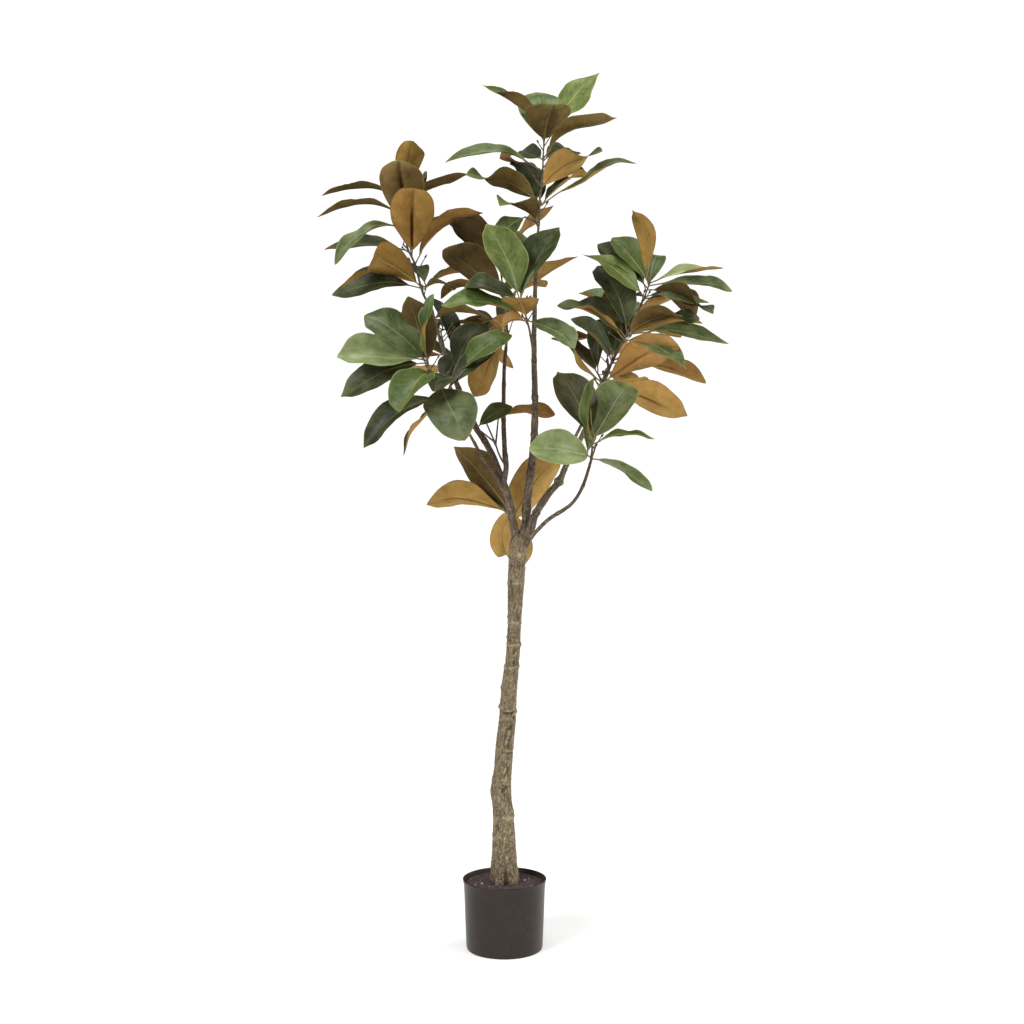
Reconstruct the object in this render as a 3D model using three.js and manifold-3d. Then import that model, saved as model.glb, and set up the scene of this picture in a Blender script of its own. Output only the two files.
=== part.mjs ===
// An artificial magnolia tree in a plain round nursery pot.
// Millimetres, +Z up, the origin at the centre of the pot's flat underside.
// Bearings are degrees round from +X towards +Y, lifts are degrees above level, and the front is -Y.
import * as THREE from "three";
import { mergeVertices } from "three/addons/utils/BufferGeometryUtils.js";
import Module from "manifold-3d";

const wasm = await Module();
wasm.setup();

// ---------- driving dimensions ----------

const seatGap = 0.3; // between neighbours that touch
const leafClearance = 1.2; // kept between a leaf and the limbs and the other masses

const pot = {
  height: 143,
  rimRadius: 86,
  rimBand: 12,
  topRadius: 83.5,
  bottomRadius: 78.5,
  footRadius: 75,
  footEdge: [2.4, 1.4], // out and up, the rounding under the foot
  footRise: 5,
  lip: 0.8, // rounding along the rim
  bandStep: 1.5, // height of the slope under the rim band
  wall: 2,
  floor: 3,
  segments: 32,
};

// The fill is lowest where it meets the pot's wall.
const fill = { top: 131, sink: 1.5, level: 67 };

const trunk = {
  sides: 12,
  segments: 28,
  dome: { height: 16, tip: 0.05 }, // the rounded crown between the boughs
  lobes: { count: 5, depth: 0.14, height: 55, turn: 4.19 }, // root flare
  // x, y, z and radius from the flat cut to the fork
  course: [
    [1, 0, 131.3, 29.5],
    [-1, 0, 168, 27.2],
    [-0.5, 0, 210, 23.6],
    [-2.5, 1, 266, 20.6],
    [-6, 2, 322, 19.8],
    [-2.5, 3, 375, 18.4],
    [0, 3, 416, 17.9],
    [6, 3, 468, 16.9],
    [10, 2, 536, 16],
    [14, 1, 573, 15.3],
    [18, 0, 610, 14.3],
    [20.5, 0, 663, 13.6],
    [22.5, 0, 717, 15.4],
    [25, 0, 765, 17],
    [29, 0, 824, 18.5],
    [31, 0, 850, 18.8],
  ],
};

// Each bough tapers from the first radius to the second, and starts inside the limb that it grows from.
const boughs = [
  {
    name: "bough_left",
    radii: [8.6, 3],
    course: [
      [27, 1, 830],
      [19.5, 3, 864],
      [7, 8, 927],
      [-6, 14, 966],
      [-36, 22, 1035],
      [-64, 28, 1077],
      [-97, 38, 1155],
      [-131, 48, 1244],
      [-152, 50, 1319],
    ],
  },
  {
    name: "bough_tall",
    radii: [9.8, 3.2],
    course: [
      [35, 2, 832],
      [42, 6, 857],
      [46.5, 6, 921],
      [55, 8, 983],
      [61, 10, 1045],
      [63, 12, 1128],
      [61, 15, 1231],
      [63, 18, 1335],
      [67, 20, 1439],
    ],
  },
  {
    name: "bough_right",
    radii: [8.8, 3.6],
    course: [
      [38, -3, 830],
      [54, -11, 862],
      [62, -10, 889],
      [88, -6, 930],
      [112, -2, 959],
      [127, 2, 992],
      [156, 6, 1044],
      [180, 8, 1106],
      [196, 10, 1146],
    ],
  },
  {
    name: "bough_right_low",
    radii: [4.3, 3.1],
    course: [
      [40, -6, 826],
      [61, -25, 852],
      [90, -35, 881],
      [136, -52, 913],
      [158, -66, 949],
      [168, -74, 979],
      [172, -78, 994],
    ],
  },
  {
    name: "bough_left_low",
    radii: [4, 2.7],
    course: [
      [2, 10, 936],
      [-16, 0, 966],
      [-40, -10, 999],
      [-68, -30, 1049],
      [-86, -48, 1078],
    ],
  },
  {
    name: "bough_centre_back",
    radii: [5.6, 3.4],
    course: [
      [-3, 12, 955],
      [3, 15, 985],
      [0, 24, 1025],
      [-2, 36, 1077],
      [-2, 48, 1131],
      [-1, 62, 1195],
      [3, 72, 1245],
    ],
  },
  {
    name: "bough_front",
    radii: [3.2, 2.5],
    course: [
      [61, 15, 1226],
      [57, 2, 1243],
      [53, -10, 1260],
    ],
  },
  {
    name: "bough_left_back",
    radii: [3.6, 2.6],
    course: [
      [-50, 25, 1056],
      [-66, 52, 1092],
      [-88, 88, 1142],
      [-108, 122, 1190],
    ],
  },
  {
    name: "bough_right_back",
    radii: [4.2, 2.6],
    course: [
      [124, 1, 984],
      [138, 36, 1032],
      [168, 80, 1092],
      [200, 122, 1160],
    ],
  },
];

const limb = { sides: 8, spacing: 26 }; // sides of a bough's section and the distance between its rings

const twig = {
  sides: 5,
  tipRadius: 1.5,
  forkRadius: 2, // of a side twig where it leaves the stem
  hostRadius: 2.6, // of a stem that leaves a limb's side
  stemShare: 0.9, // of the bough's tip, for a stem that goes on from it
  lead: 6, // that a stem goes straight on before it turns
};

const leafForm = {
  stations: [0.17, 0.52, 0.86], // along the blade
  petioleRadius: 1.6,
  thickness: 2.6,
  tip: 0.5,
  petioleShare: 0.09, // of the leaf's reach
  longReach: 175, // past this a share of the extra length is petiole
  longShare: 0.6,
  widthShare: 0.54, // of the blade's length
  skew: 0.97,
  fullness: 0.62, // a smaller number makes a blunter oval
  taper: { from: 0.8, by: 0.45 }, // the drawn-out tip
  spacing: 3, // between the roots of a tier's leaves
};

// What the seed may change on each leaf
const variation = { bearing: 5, lift: 4, bend: [26, 60], fold: [0.1, 0.34], width: [0.94, 1.1] };

// The side twig that carries a tier's unaimed leaves, fanned out round its end
const sideTwig = { length: [24, 46], lift: [8, 38], fan: 46, reach: [138, 165], leafLift: [-12, 48] };

// Turns tried, in degrees, when a leaf would touch something: across and up
const retries = [
  [0, 0],
  [9, 5],
  [-9, 5],
  [0, 12],
  [0, -12],
  [18, -6],
  [-18, -6],
  [24, 16],
  [-24, 16],
];

// Each mass grows from one stem, which starts at its bough's tip or inside its host limb.
// A tier sits at a share of the stem, on the stem or at the end of a twig [bearing, lift, length].
// A leaf is aimed by [bearing, lift, face, reach, edge]: face 1 turns its upper side to the front and -1 its
// underside, and edge turns the upper side to the right. Unaimed leaves are a fill: [count, middle bearing].
const masses = [
  {
    name: "foliage_top",
    bough: "bough_tall",
    seed: 11,
    stem: [
      [71, 20, 1499],
      [73, 20, 1545],
      [78, 20, 1588],
      [80, 20, 1632],
      [82, 20, 1668],
    ],
    tiers: [
      {
        at: 1,
        leaves: [
          [345, 50, 0.8, 175],
          [184, 44, 0, 172, -0.4],
          [272, 11, 0, 176],
          [100, 62, 0.5, 158],
        ],
      },
      {
        at: 0.83,
        leaves: [
          [346, 23, -0.1, 156, -0.3],
          [128, 16, 0.6, 112],
          [58, 12, 0.4, 128],
        ],
      },
      {
        at: 0.6,
        leaves: [
          [329, 18, -0.7, 146],
          [180, 20, 0.9, 202],
        ],
        fill: [2, 95],
      },
      {
        at: 0.42,
        leaves: [
          [194, 31, -0.5, 165],
          [160, 18, 0.3, 128],
          [2, 25, 0.35, 204],
        ],
        fill: [2, 80],
      },
      { at: 0.24, leaves: [[241, 5, -0.3, 150]], fill: [1, 135] },
    ],
  },
  {
    name: "foliage_upper_left",
    bough: "bough_left",
    seed: 23,
    stem: [
      [-169, 50, 1349],
      [-190, 50, 1420],
      [-204, 50, 1450],
      [-207, 50, 1498],
      [-212, 50, 1552],
    ],
    tiers: [
      {
        at: 1,
        leaves: [
          [290, 48, -0.5, 136],
          [180, 5, 0, 172],
          [8, 25, -0.2, 152, -0.5],
        ],
        fill: [2, 85],
      },
      {
        at: 0.86,
        leaves: [[194, -3, 0, 186]],
        fill: [1, 130],
      },
      {
        at: 0.75,
        leaves: [
          [262, 43, -0.7, 158],
          [205, -22, 0.4, 184],
        ],
        fill: [1, 60],
      },
      {
        at: 0.56,
        leaves: [
          [284, 34, -0.6, 162],
          [172, 4, 0.2, 180],
        ],
        fill: [1, 110],
      },
      {
        at: 0.43,
        leaves: [
          [205, -26, 0.9, 176],
          [352, 33, -0.4, 200],
        ],
      },
      {
        at: 0.22,
        leaves: [
          [217, 26, -2, 150],
          [183, 0, 0.4, 190],
          [316, -2, -0.3, 104],
        ],
        fill: [2, 70],
      },
    ],
  },
  {
    name: "foliage_left",
    bough: "bough_left_low",
    seed: 31,
    stem: [
      [-107, -80, 1108],
      [-125, -100, 1138],
      [-141, -107, 1167],
      [-154, -110, 1196],
    ],
    tiers: [
      {
        at: 1,
        leaves: [
          [193, 4, 1.4, 176],
          [172, 32, 1.1, 156],
          [180, -26, 1.2, 182],
          [300, 78, 0, 136, 3],
          [215, 70, -0.8, 142],
        ],
      },
      { at: 0.84, leaves: [[243, -32, 0.6, 164]] },
      {
        at: 0.5,
        leaves: [
          [282, -37, 1.2, 190],
          [189, -31, 1, 190],
          [168, -52, 0, 146, -2.5],
        ],
      },
      {
        at: 0.45,
        twig: [58, 60, 58],
        leaves: [
          [48, 54, 0.8, 145],
          [345, 30, 1.2, 146],
          [335, 44, 0.6, 118],
          [236, 14, 0.5, 112],
        ],
        fill: [1, 100],
      },
    ],
  },
  {
    name: "foliage_front",
    bough: "bough_front",
    seed: 43,
    stem: [
      [44, -48, 1290],
      [30, -70, 1324],
    ],
    tiers: [
      {
        at: 1,
        leaves: [
          [182, 69, 0.8, 164],
          [20, 56, 0.4, 174],
          [168, 22, 0.6, 126],
          [86, 62, 0.3, 178],
        ],
      },
      {
        at: 0.5,
        leaves: [
          [266, 10, 0, 148],
          [191, 13, 0.45, 178],
          [304, -31, 0.5, 148],
          [224, -6, -1.3, 118],
        ],
      },
    ],
  },
  {
    name: "foliage_centre_back",
    bough: "bough_centre_back",
    seed: 59,
    stem: [
      [5, 80, 1271],
      [0, 84, 1345],
      [-10, 82, 1413],
    ],
    tiers: [
      {
        at: 1,
        leaves: [
          [212, 28, -0.7, 146],
          [180, 38, -0.4, 172],
          [4, 48, -0.3, 182, -0.8],
        ],
        fill: [2, 95],
      },
      {
        at: 0.6,
        leaves: [
          [213, 28, -0.8, 174],
          [358, 29, -0.4, 180],
        ],
        fill: [2, 100],
      },
      {
        at: 0.2,
        leaves: [
          [248, 10, -0.4, 118],
          [222, -60, -1, 160],
        ],
        fill: [2, 115],
      },
    ],
  },
  {
    name: "foliage_right",
    bough: "bough_right",
    seed: 67,
    stem: [
      [204, 10, 1160],
      [222, 10, 1206],
      [254, 20, 1265],
      [289, 25, 1339],
      [303, 30, 1375],
    ],
    tiers: [
      {
        at: 1,
        leaves: [
          [240, 60, -0.6, 158, -0.7],
          [355, 14, 0.7, 156],
          [137, 53, 0.4, 134],
          [6, -4, 0.8, 184],
          [66, 50, 0.3, 122],
          [150, 40, 0.4, 145],
          [330, -11, -0.7, 146],
        ],
      },
      {
        at: 0.86,
        leaves: [
          [196, 31, 1, 160],
          [344, -10, 0.6, 136],
        ],
        fill: [2, 80],
      },
      {
        at: 0.53,
        leaves: [
          [141, 66, 0.5, 172],
          [350, -2, 0.35, 206],
          [337, 15, -0.6, 132],
          [168, 43, 0.6, 136],
          [356, 13, -0.5, 162],
          [187, 24, 0.1, 158],
          [320, -33, 0.7, 150],
        ],
        fill: [2, 60],
      },
      {
        at: 0.27,
        leaves: [
          [331, 6, -0.9, 150],
          [197, 52, 0.7, 126],
          [4, -12, -0.35, 198],
        ],
        fill: [1, 80],
      },
      {
        at: 0.07,
        leaves: [
          [343, 30, -1, 166],
          [200, 52, 0, 130, -3],
          [354, -25, -1, 184],
        ],
        fill: [1, 110],
      },
    ],
  },
  {
    name: "foliage_right_low",
    bough: "bough_right_low",
    seed: 71,
    stem: [
      [175, -80, 1014],
      [176, -80, 1040],
    ],
    tiers: [
      {
        at: 1,
        leaves: [
          [150, 60, 1, 170],
          [228, 72, 0, 126, 4],
          [36, 55, 0.8, 152],
          [2, 8, 0.1, 130],
        ],
      },
      {
        at: 0.25,
        leaves: [
          [206, 6, 3, 142],
          [335, -30, 0.2, 140],
        ],
        fill: [1, 105],
      },
    ],
  },
  {
    name: "foliage_low_back",
    host: "trunk",
    seed: 83,
    stem: [
      [28, 6, 828],
      [20, 32, 858],
      [16, 46, 888],
    ],
    tiers: [
      {
        at: 1,
        leaves: [
          [188, 12, -0.6, 182],
          [187, 53, -1.2, 192],
          [4, 54, -1.2, 168],
          [166, 44, 0.4, 146],
        ],
        fill: [2, 90],
      },
      {
        at: 0.72,
        leaves: [
          [120, -40, -2, 95],
          [66, -44, -0.6, 112, -0.6],
        ],
      },
    ],
  },
  {
    name: "foliage_inner",
    host: "bough_centre_back",
    seed: 97,
    stem: [
      [2, 16, 992],
      [-10, 6, 1012],
      [-20, 6, 1040],
    ],
    tiers: [
      { at: 1, twig: [182, 38, 48], leaves: [[16, 40, 0.9, 88]] },
      { at: 1, twig: [180, 66, 52], leaves: [] },
      { at: 0.9, twig: [84, 52, 76], leaves: [[3, 6, -0.4, 120]] },
    ],
  },
  {
    name: "foliage_left_back",
    bough: "bough_left_back",
    seed: 101,
    stem: [
      [-125, 148, 1230],
      [-140, 162, 1290],
    ],
    tiers: [
      { at: 1, leaves: [[166, 10, 0, 140]], fill: [4, 85] },
      { at: 0.5, leaves: [[150, -4, 0, 150]], fill: [3, 66] },
      { at: 0.12, leaves: [[140, -12, 0, 150]], fill: [2, 80] },
    ],
  },
  {
    name: "foliage_right_back",
    bough: "bough_right_back",
    seed: 113,
    stem: [
      [236, 158, 1230],
      [262, 172, 1300],
    ],
    tiers: [
      { at: 1, leaves: [[350, 24, 0, 150]], fill: [4, 85] },
      { at: 0.5, leaves: [[20, 4, 0, 155]], fill: [3, 88] },
      { at: 0.12, leaves: [[40, -8, 0, 150]], fill: [2, 95] },
    ],
  },
];

const finishes = {
  pot: { color: 0x46403a, roughness: 0.55, metalness: 0 },
  fill: { color: 0x41383a, roughness: 0.95, metalness: 0 },
  trunk: { color: 0x7c7059, roughness: 0.9, metalness: 0 },
  bough: { color: 0x5a4d46, roughness: 0.85, metalness: 0 },
  foliage: { color: 0x5f6e40, roughness: 0.55, metalness: 0 },
};

// ---------- vectors, curves and seeded numbers ----------

const up = new THREE.Vector3(0, 0, 1);
const front = new THREE.Vector3(0, -1, 0);
const right = new THREE.Vector3(1, 0, 0);
const radians = THREE.MathUtils.degToRad;
const vector = (point) => new THREE.Vector3(point[0], point[1], point[2]);
const within = ([low, high], share) => low + (high - low) * share;

function direction(bearing, lift) {
  const b = radians(bearing);
  const l = radians(lift);
  return new THREE.Vector3(Math.cos(b) * Math.cos(l), Math.sin(b) * Math.cos(l), Math.sin(l));
}

// A stream of numbers from 0 to 1 that a seed repeats
function seeded(seed) {
  let state = seed;
  return () => {
    state = (Math.imul(state, 1664525) + 1013904223) >>> 0;
    return state / 4294967296;
  };
}

const stepLengths = (line) => line.slice(1).map((point, i) => point.distanceTo(line[i]));
const lineLength = (line) => stepLengths(line).reduce((sum, length) => sum + length, 0);

// The point at a distance along a line of points
function spotOn(line, distance) {
  const lengths = stepLengths(line);
  let left = distance;
  let step = 0;
  while (step < lengths.length - 1 && left > lengths[step]) {
    left -= lengths[step];
    step += 1;
  }
  return line[step].clone().lerp(line[step + 1], left / lengths[step]);
}

// ---------- solids ----------

function solidFrom(geometry) {
  const bare = geometry.clone();
  bare.deleteAttribute("normal");
  bare.deleteAttribute("uv");
  const merged = mergeVertices(bare, 1e-3);
  return new wasm.Manifold(
    new wasm.Mesh({
      numProp: 3,
      vertProperties: merged.getAttribute("position").array,
      triVerts: new Uint32Array(merged.index.array),
    }),
  );
}

const joined = (solids) => solids.reduce((sum, solid) => sum.add(solid));

function largestPiece(solid) {
  const pieces = solid.decompose();
  return pieces.reduce((most, piece) => (piece.volume() > most.volume() ? piece : most));
}

// A closed cylinder whose rings are laid out by place(x, ring, z), with x and z from -1 to 1
function bentCylinder(sides, rings, place) {
  const geometry = new THREE.CylinderGeometry(1, 1, 1, sides, rings - 1);
  const positions = geometry.getAttribute("position");
  for (let i = 0; i < positions.count; i++) {
    const ring = Math.round((positions.getY(i) + 0.5) * (rings - 1));
    const spot = place(positions.getX(i), ring, positions.getZ(i));
    positions.setXYZ(i, spot.x, spot.y, spot.z);
  }
  return solidFrom(geometry);
}

// A round limb through the points of a curve, its radius given by radiusAt(share)
function limbSolid(curve, sides, segments, radiusAt) {
  const frames = curve.computeFrenetFrames(segments, false);
  return bentCylinder(sides, segments + 1, (x, ring, z) => {
    const share = ring / segments;
    const radius = radiusAt(share);
    return curve
      .getPointAt(share)
      .addScaledVector(frames.binormals[ring], x * radius)
      .addScaledVector(frames.normals[ring], z * radius);
  });
}

// A thin round twig along a line of points
function twigSolid(line, fromRadius, toRadius) {
  const headings = line.map((point, i) => {
    const before = line[Math.max(i - 1, 0)];
    const after = line[Math.min(i + 1, line.length - 1)];
    return after.clone().sub(before).normalize();
  });
  return bentCylinder(twig.sides, line.length, (x, ring, z) => {
    const heading = headings[ring];
    const across = heading.clone().cross(Math.abs(heading.z) > 0.9 ? front : up).normalize();
    const radius = within([fromRadius, toRadius], ring / (line.length - 1));
    return line[ring]
      .clone()
      .addScaledVector(across, x * radius)
      .addScaledVector(across.clone().cross(heading), z * radius);
  });
}

function turned(profile, segments) {
  const outline = profile.map(([radius, height]) => new THREE.Vector2(radius, height));
  return solidFrom(new THREE.LatheGeometry(outline, segments).rotateX(Math.PI / 2));
}

// ---------- the leaf ----------

// A leaf's axes: ahead along its chord, top out of its upper side, side across it
function leafAxes(leaf) {
  const ahead = direction(leaf.bearing, leaf.lift);
  const top = up.clone().addScaledVector(front, leaf.face).addScaledVector(right, leaf.edge);
  top.addScaledVector(ahead, -top.dot(ahead)).normalize();
  return { ahead, top, side: ahead.clone().cross(top) };
}

// Share of the full width at a share of the blade: oval, narrowing to a drawn-out tip
function bladeWidth(share) {
  const { skew, fullness, taper } = leafForm;
  const oval = Math.sin(Math.PI * share ** skew) ** fullness;
  return oval * (1 - taper.by * THREE.MathUtils.smoothstep(share, taper.from, 1));
}

// Sections along a leaf, from its root in the twig to its tip
function leafSections({ reach, width }) {
  const { stations, petioleShare, petioleRadius, widthShare, thickness, tip } = leafForm;
  const petiole = petioleShare * reach + leafForm.longShare * Math.max(0, reach - leafForm.longReach);
  const blade = reach - petiole;
  const halfWidth = (widthShare * blade * width) / 2;
  return [
    { share: 0, across: petioleRadius / 2, thick: petioleRadius / 2, rise: 0 },
    { share: petiole / reach, across: petioleRadius, thick: petioleRadius, rise: 0 },
    ...stations.map((station) => ({
      share: (petiole + station * blade) / reach,
      across: halfWidth * bladeWidth(station),
      thick: thickness / 2,
      rise: halfWidth * bladeWidth(station),
    })),
    { share: 1, across: tip, thick: tip, rise: 0 },
  ];
}

// The leaf bends in an arc towards its underside, and each section is a shallow V with a thick middle.
function leafSolid(leaf, margin, sections = leafSections(leaf)) {
  const { ahead, top, side } = leafAxes(leaf);
  const bend = radians(leaf.bend);
  const arcRadius = leaf.reach / (2 * Math.sin(bend / 2));
  return bentCylinder(4, sections.length, (x, ring, z) => {
    const { share, across, thick, rise } = sections[ring];
    const turn = bend * (share - 0.5);
    const normal = top.clone().multiplyScalar(Math.cos(turn)).addScaledVector(ahead, Math.sin(turn));
    return leaf.root
      .clone()
      .addScaledVector(ahead, arcRadius * (Math.sin(turn) + Math.sin(bend / 2)))
      .addScaledVector(top, arcRadius * (Math.cos(turn) - Math.cos(bend / 2)))
      .addScaledVector(side, x * (across + margin))
      .addScaledVector(normal, z * (thick + margin) + Math.abs(x) * rise * leaf.fold);
  });
}

// The leaf without its petiole, which may cross no other leaf of its mass
const bladeSolid = (leaf, margin) => leafSolid(leaf, margin, leafSections(leaf).slice(2));

// ---------- the foliage rule ----------

// All leaves and twigs that a mass would have: the same seed gives the same ones
function massPlan(mass, stemLine) {
  const random = seeded(mass.seed);
  const leaves = [];
  const twigs = [];
  // The leaves of a tier sit one below the other along their twig, the first at the given distance.
  const addLeaf = (line, distance, order, [bearing, lift, face, reach, edge = 0]) => {
    leaves.push({
      root: spotOn(line, Math.max(leafForm.spacing, distance - order * leafForm.spacing)),
      bearing: bearing + within([-variation.bearing, variation.bearing], random()),
      lift: lift + within([-variation.lift, variation.lift], random()),
      face,
      edge,
      reach,
      bend: within(variation.bend, random()),
      fold: within(variation.fold, random()),
      width: within(variation.width, random()),
    });
  };
  for (const tier of mass.tiers) {
    const stemDistance = tier.at * lineLength(stemLine);
    const node = spotOn(stemLine, stemDistance);
    let [line, distance] = [stemLine, stemDistance];
    if (tier.twig) {
      const [bearing, lift, length] = tier.twig;
      line = [node, node.clone().addScaledVector(direction(bearing, lift), length)];
      distance = length;
      twigs.push(line);
    }
    tier.leaves.forEach((aim, order) => addLeaf(line, distance, order, aim));
    if (!tier.fill) continue;
    const [count, middle] = tier.fill;
    const heading = direction(middle, within(sideTwig.lift, random()));
    const length = within(sideTwig.length, random());
    const side = [node, node.clone().addScaledVector(heading, length)];
    twigs.push(side);
    for (let i = 0; i < count; i++) {
      const spread = count > 1 ? (2 * i) / (count - 1) - 1 : 0;
      const lift = within(sideTwig.leafLift, random());
      const reach = within(sideTwig.reach, random());
      addLeaf(side, length, i, [middle + sideTwig.fan * spread, lift, 0, reach]);
    }
  }
  return { leaves, twigs };
}

const touches = (solid, others) => others.some((other) => !solid.intersect(other).isEmpty());

// Grows a mass. A leaf is turned a little where it would cross a leaf of its own mass,
// and skipped where every turn would take it into a limb or another mass.
function growMass(mass, stemLine, stemRadius, obstacles) {
  const { leaves, twigs } = massPlan(mass, stemLine);
  const solids = [twigSolid(stemLine, stemRadius, twig.tipRadius)];
  twigs.forEach((line) => solids.push(twigSolid(line, twig.forkRadius, twig.tipRadius)));
  const blades = [];
  for (const leaf of leaves) {
    const clear = retries
      .map(([across, rise]) => ({ ...leaf, bearing: leaf.bearing + across, lift: leaf.lift + rise }))
      .filter((tried) => !touches(leafSolid(tried, leafClearance), obstacles));
    if (!clear.length) continue;
    const kept = clear.find((tried) => !touches(bladeSolid(tried, leafClearance), blades)) ?? clear[0];
    blades.push(bladeSolid(kept, 0));
    solids.push(leafSolid(kept, 0));
  }
  return joined(solids);
}

// ---------- the pieces ----------

function potSolid() {
  const bandFoot = pot.height - pot.rimBand;
  const innerFoot = pot.bottomRadius - pot.wall;
  return turned(
    [
      [0, 0],
      [pot.footRadius, 0],
      [pot.footRadius + pot.footEdge[0], pot.footEdge[1]],
      [pot.bottomRadius, pot.footRise],
      [pot.topRadius, bandFoot - pot.bandStep],
      [pot.rimRadius, bandFoot],
      [pot.rimRadius, pot.height - pot.lip],
      [pot.rimRadius - pot.lip, pot.height],
      [pot.rimRadius - pot.wall, pot.height],
      [pot.topRadius - pot.wall, bandFoot - pot.bandStep],
      [innerFoot, pot.footRise],
      [innerFoot - (pot.footRise - pot.floor), pot.floor],
      [0, pot.floor],
    ],
    pot.segments,
  );
}

// The fill stands inside the pot's wall, a seat gap clear of it all round.
function fillSolid() {
  const wallRadius = (height) => {
    const wallTop = pot.height - pot.rimBand - pot.bandStep;
    const share = (height - pot.footRise) / (wallTop - pot.footRise);
    return within([pot.bottomRadius, pot.topRadius], share) - pot.wall - 2 * seatGap;
  };
  const edgeHeight = fill.top - 2 * fill.sink;
  return turned(
    [
      [0, pot.floor + seatGap],
      [wallRadius(pot.footRise) - pot.floor, pot.floor + seatGap],
      [wallRadius(2 * pot.footRise), 2 * pot.footRise],
      [wallRadius(edgeHeight), edgeHeight],
      [fill.level, fill.top],
      [0, fill.top],
    ],
    pot.segments,
  );
}

// Radius along a course of [x, y, z, radius] points, by height
function radiusByHeight(course, height) {
  const next = Math.max(1, course.findIndex((point) => point[2] >= height));
  const [low, high] = [course[next - 1], course[next]];
  return within([low[3], high[3]], (height - low[2]) / (high[2] - low[2]));
}

// The trunk's rings are level, so that its foot is a flat cut.
function trunkSolid(extra) {
  const { course, lobes, dome } = trunk;
  const curve = new THREE.CatmullRomCurve3(course.map(vector));
  const [bottom, top] = [course[0][2], course[course.length - 1][2]];
  return bentCylinder(trunk.sides, trunk.segments + 1, (x, ring, z) => {
    const centre = curve.getPointAt(ring / trunk.segments);
    const height = THREE.MathUtils.clamp(centre.z, bottom, top);
    const flare = Math.max(0, 1 - (height - bottom) / lobes.height) ** 2;
    const lobed = 1 + lobes.depth * flare * Math.cos(lobes.count * Math.atan2(-z, x) + lobes.turn);
    const domed = Math.sqrt(Math.max(dome.tip, 1 - Math.max(0, 1 - (top - height) / dome.height) ** 2));
    const radius = radiusByHeight(course, height) * lobed * domed + extra;
    return centre.add(new THREE.Vector3(x * radius, -z * radius, 0));
  });
}

function boughSolid({ course, radii }, extra) {
  const curve = new THREE.CatmullRomCurve3(course.map(vector));
  const segments = Math.max(4, Math.round(curve.getLength() / limb.spacing));
  return limbSolid(curve, limb.sides, segments, (share) => within(radii, share) + extra);
}

// A stem goes on from its bough's tip, a seat gap clear of it.
function stemFromTip(mass) {
  const { course, radii } = boughs.find(({ name }) => name === mass.bough);
  const curve = new THREE.CatmullRomCurve3(course.map(vector));
  const heading = curve.getTangentAt(1);
  const tip = curve.getPointAt(1);
  const start = [seatGap, twig.lead].map((step) => tip.clone().addScaledVector(heading, step));
  return { line: [...start, ...mass.stem.map(vector)], radius: radii[1] * twig.stemShare };
}

function piece(name, solid, finish) {
  const { vertProperties, triVerts } = solid.getMesh();
  const geometry = new THREE.BufferGeometry();
  geometry.setAttribute("position", new THREE.BufferAttribute(new Float32Array(vertProperties), 3));
  geometry.setIndex(new THREE.BufferAttribute(new Uint32Array(triVerts), 1));
  const mesh = new THREE.Mesh(geometry, new THREE.MeshStandardMaterial({ ...finish, flatShading: true }));
  mesh.name = name;
  return mesh;
}

// ---------- assembly ----------

const tree = new THREE.Group();
tree.add(piece("pot", potSolid(), finishes.pot));
tree.add(piece("pot_fill", fillSolid(), finishes.fill));
tree.add(piece("trunk", trunkSolid(0), finishes.trunk));

// Limbs made so far, each with the seat gap added all round, for later ones to be cut clear of
const grownLimbs = new Map([["trunk", trunkSolid(seatGap)]]);
for (const bough of boughs) {
  const cut = [...grownLimbs.values()].reduce((left, host) => left.subtract(host), boughSolid(bough, 0));
  tree.add(piece(bough.name, largestPiece(cut), finishes.bough));
  grownLimbs.set(bough.name, boughSolid(bough, seatGap));
}

const obstacles = [...grownLimbs.values(), potSolid()];
for (const mass of masses) {
  const { line, radius } = mass.bough
    ? stemFromTip(mass)
    : { line: mass.stem.map(vector), radius: twig.hostRadius };
  let solid = growMass(mass, line, radius, obstacles);
  if (mass.host) solid = largestPiece(solid.subtract(grownLimbs.get(mass.host)));
  tree.add(piece(mass.name, solid, finishes.foliage));
  obstacles.push(solid);
}

export default tree;
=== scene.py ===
# Artificial magnolia tree in a plain nursery pot: bark, leaves, pot and fill built over the fixed frame.
# Everything is worked out in millimetres and turned to metres when a mesh is made.
# +Z is up, the front is -Y. Bearings go round from +X towards +Y, lifts are above level, both in degrees.
import math

import bpy
import numpy as np
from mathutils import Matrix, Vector, noise
from mathutils.kdtree import KDTree


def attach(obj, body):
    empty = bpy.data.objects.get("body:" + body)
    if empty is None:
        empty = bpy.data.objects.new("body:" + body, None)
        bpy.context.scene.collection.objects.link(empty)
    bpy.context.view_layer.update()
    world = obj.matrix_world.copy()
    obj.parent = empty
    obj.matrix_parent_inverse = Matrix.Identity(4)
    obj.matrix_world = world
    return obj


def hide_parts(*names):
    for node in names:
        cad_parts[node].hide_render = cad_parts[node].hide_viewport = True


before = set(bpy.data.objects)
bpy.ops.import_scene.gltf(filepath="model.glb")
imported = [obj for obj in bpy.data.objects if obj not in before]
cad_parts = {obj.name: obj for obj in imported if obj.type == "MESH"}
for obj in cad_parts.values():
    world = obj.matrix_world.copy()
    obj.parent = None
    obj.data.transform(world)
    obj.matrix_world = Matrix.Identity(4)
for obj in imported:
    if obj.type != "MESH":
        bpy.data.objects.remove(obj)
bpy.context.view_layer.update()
mm = 0.001

# Nodes, objects and meshes.

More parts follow.
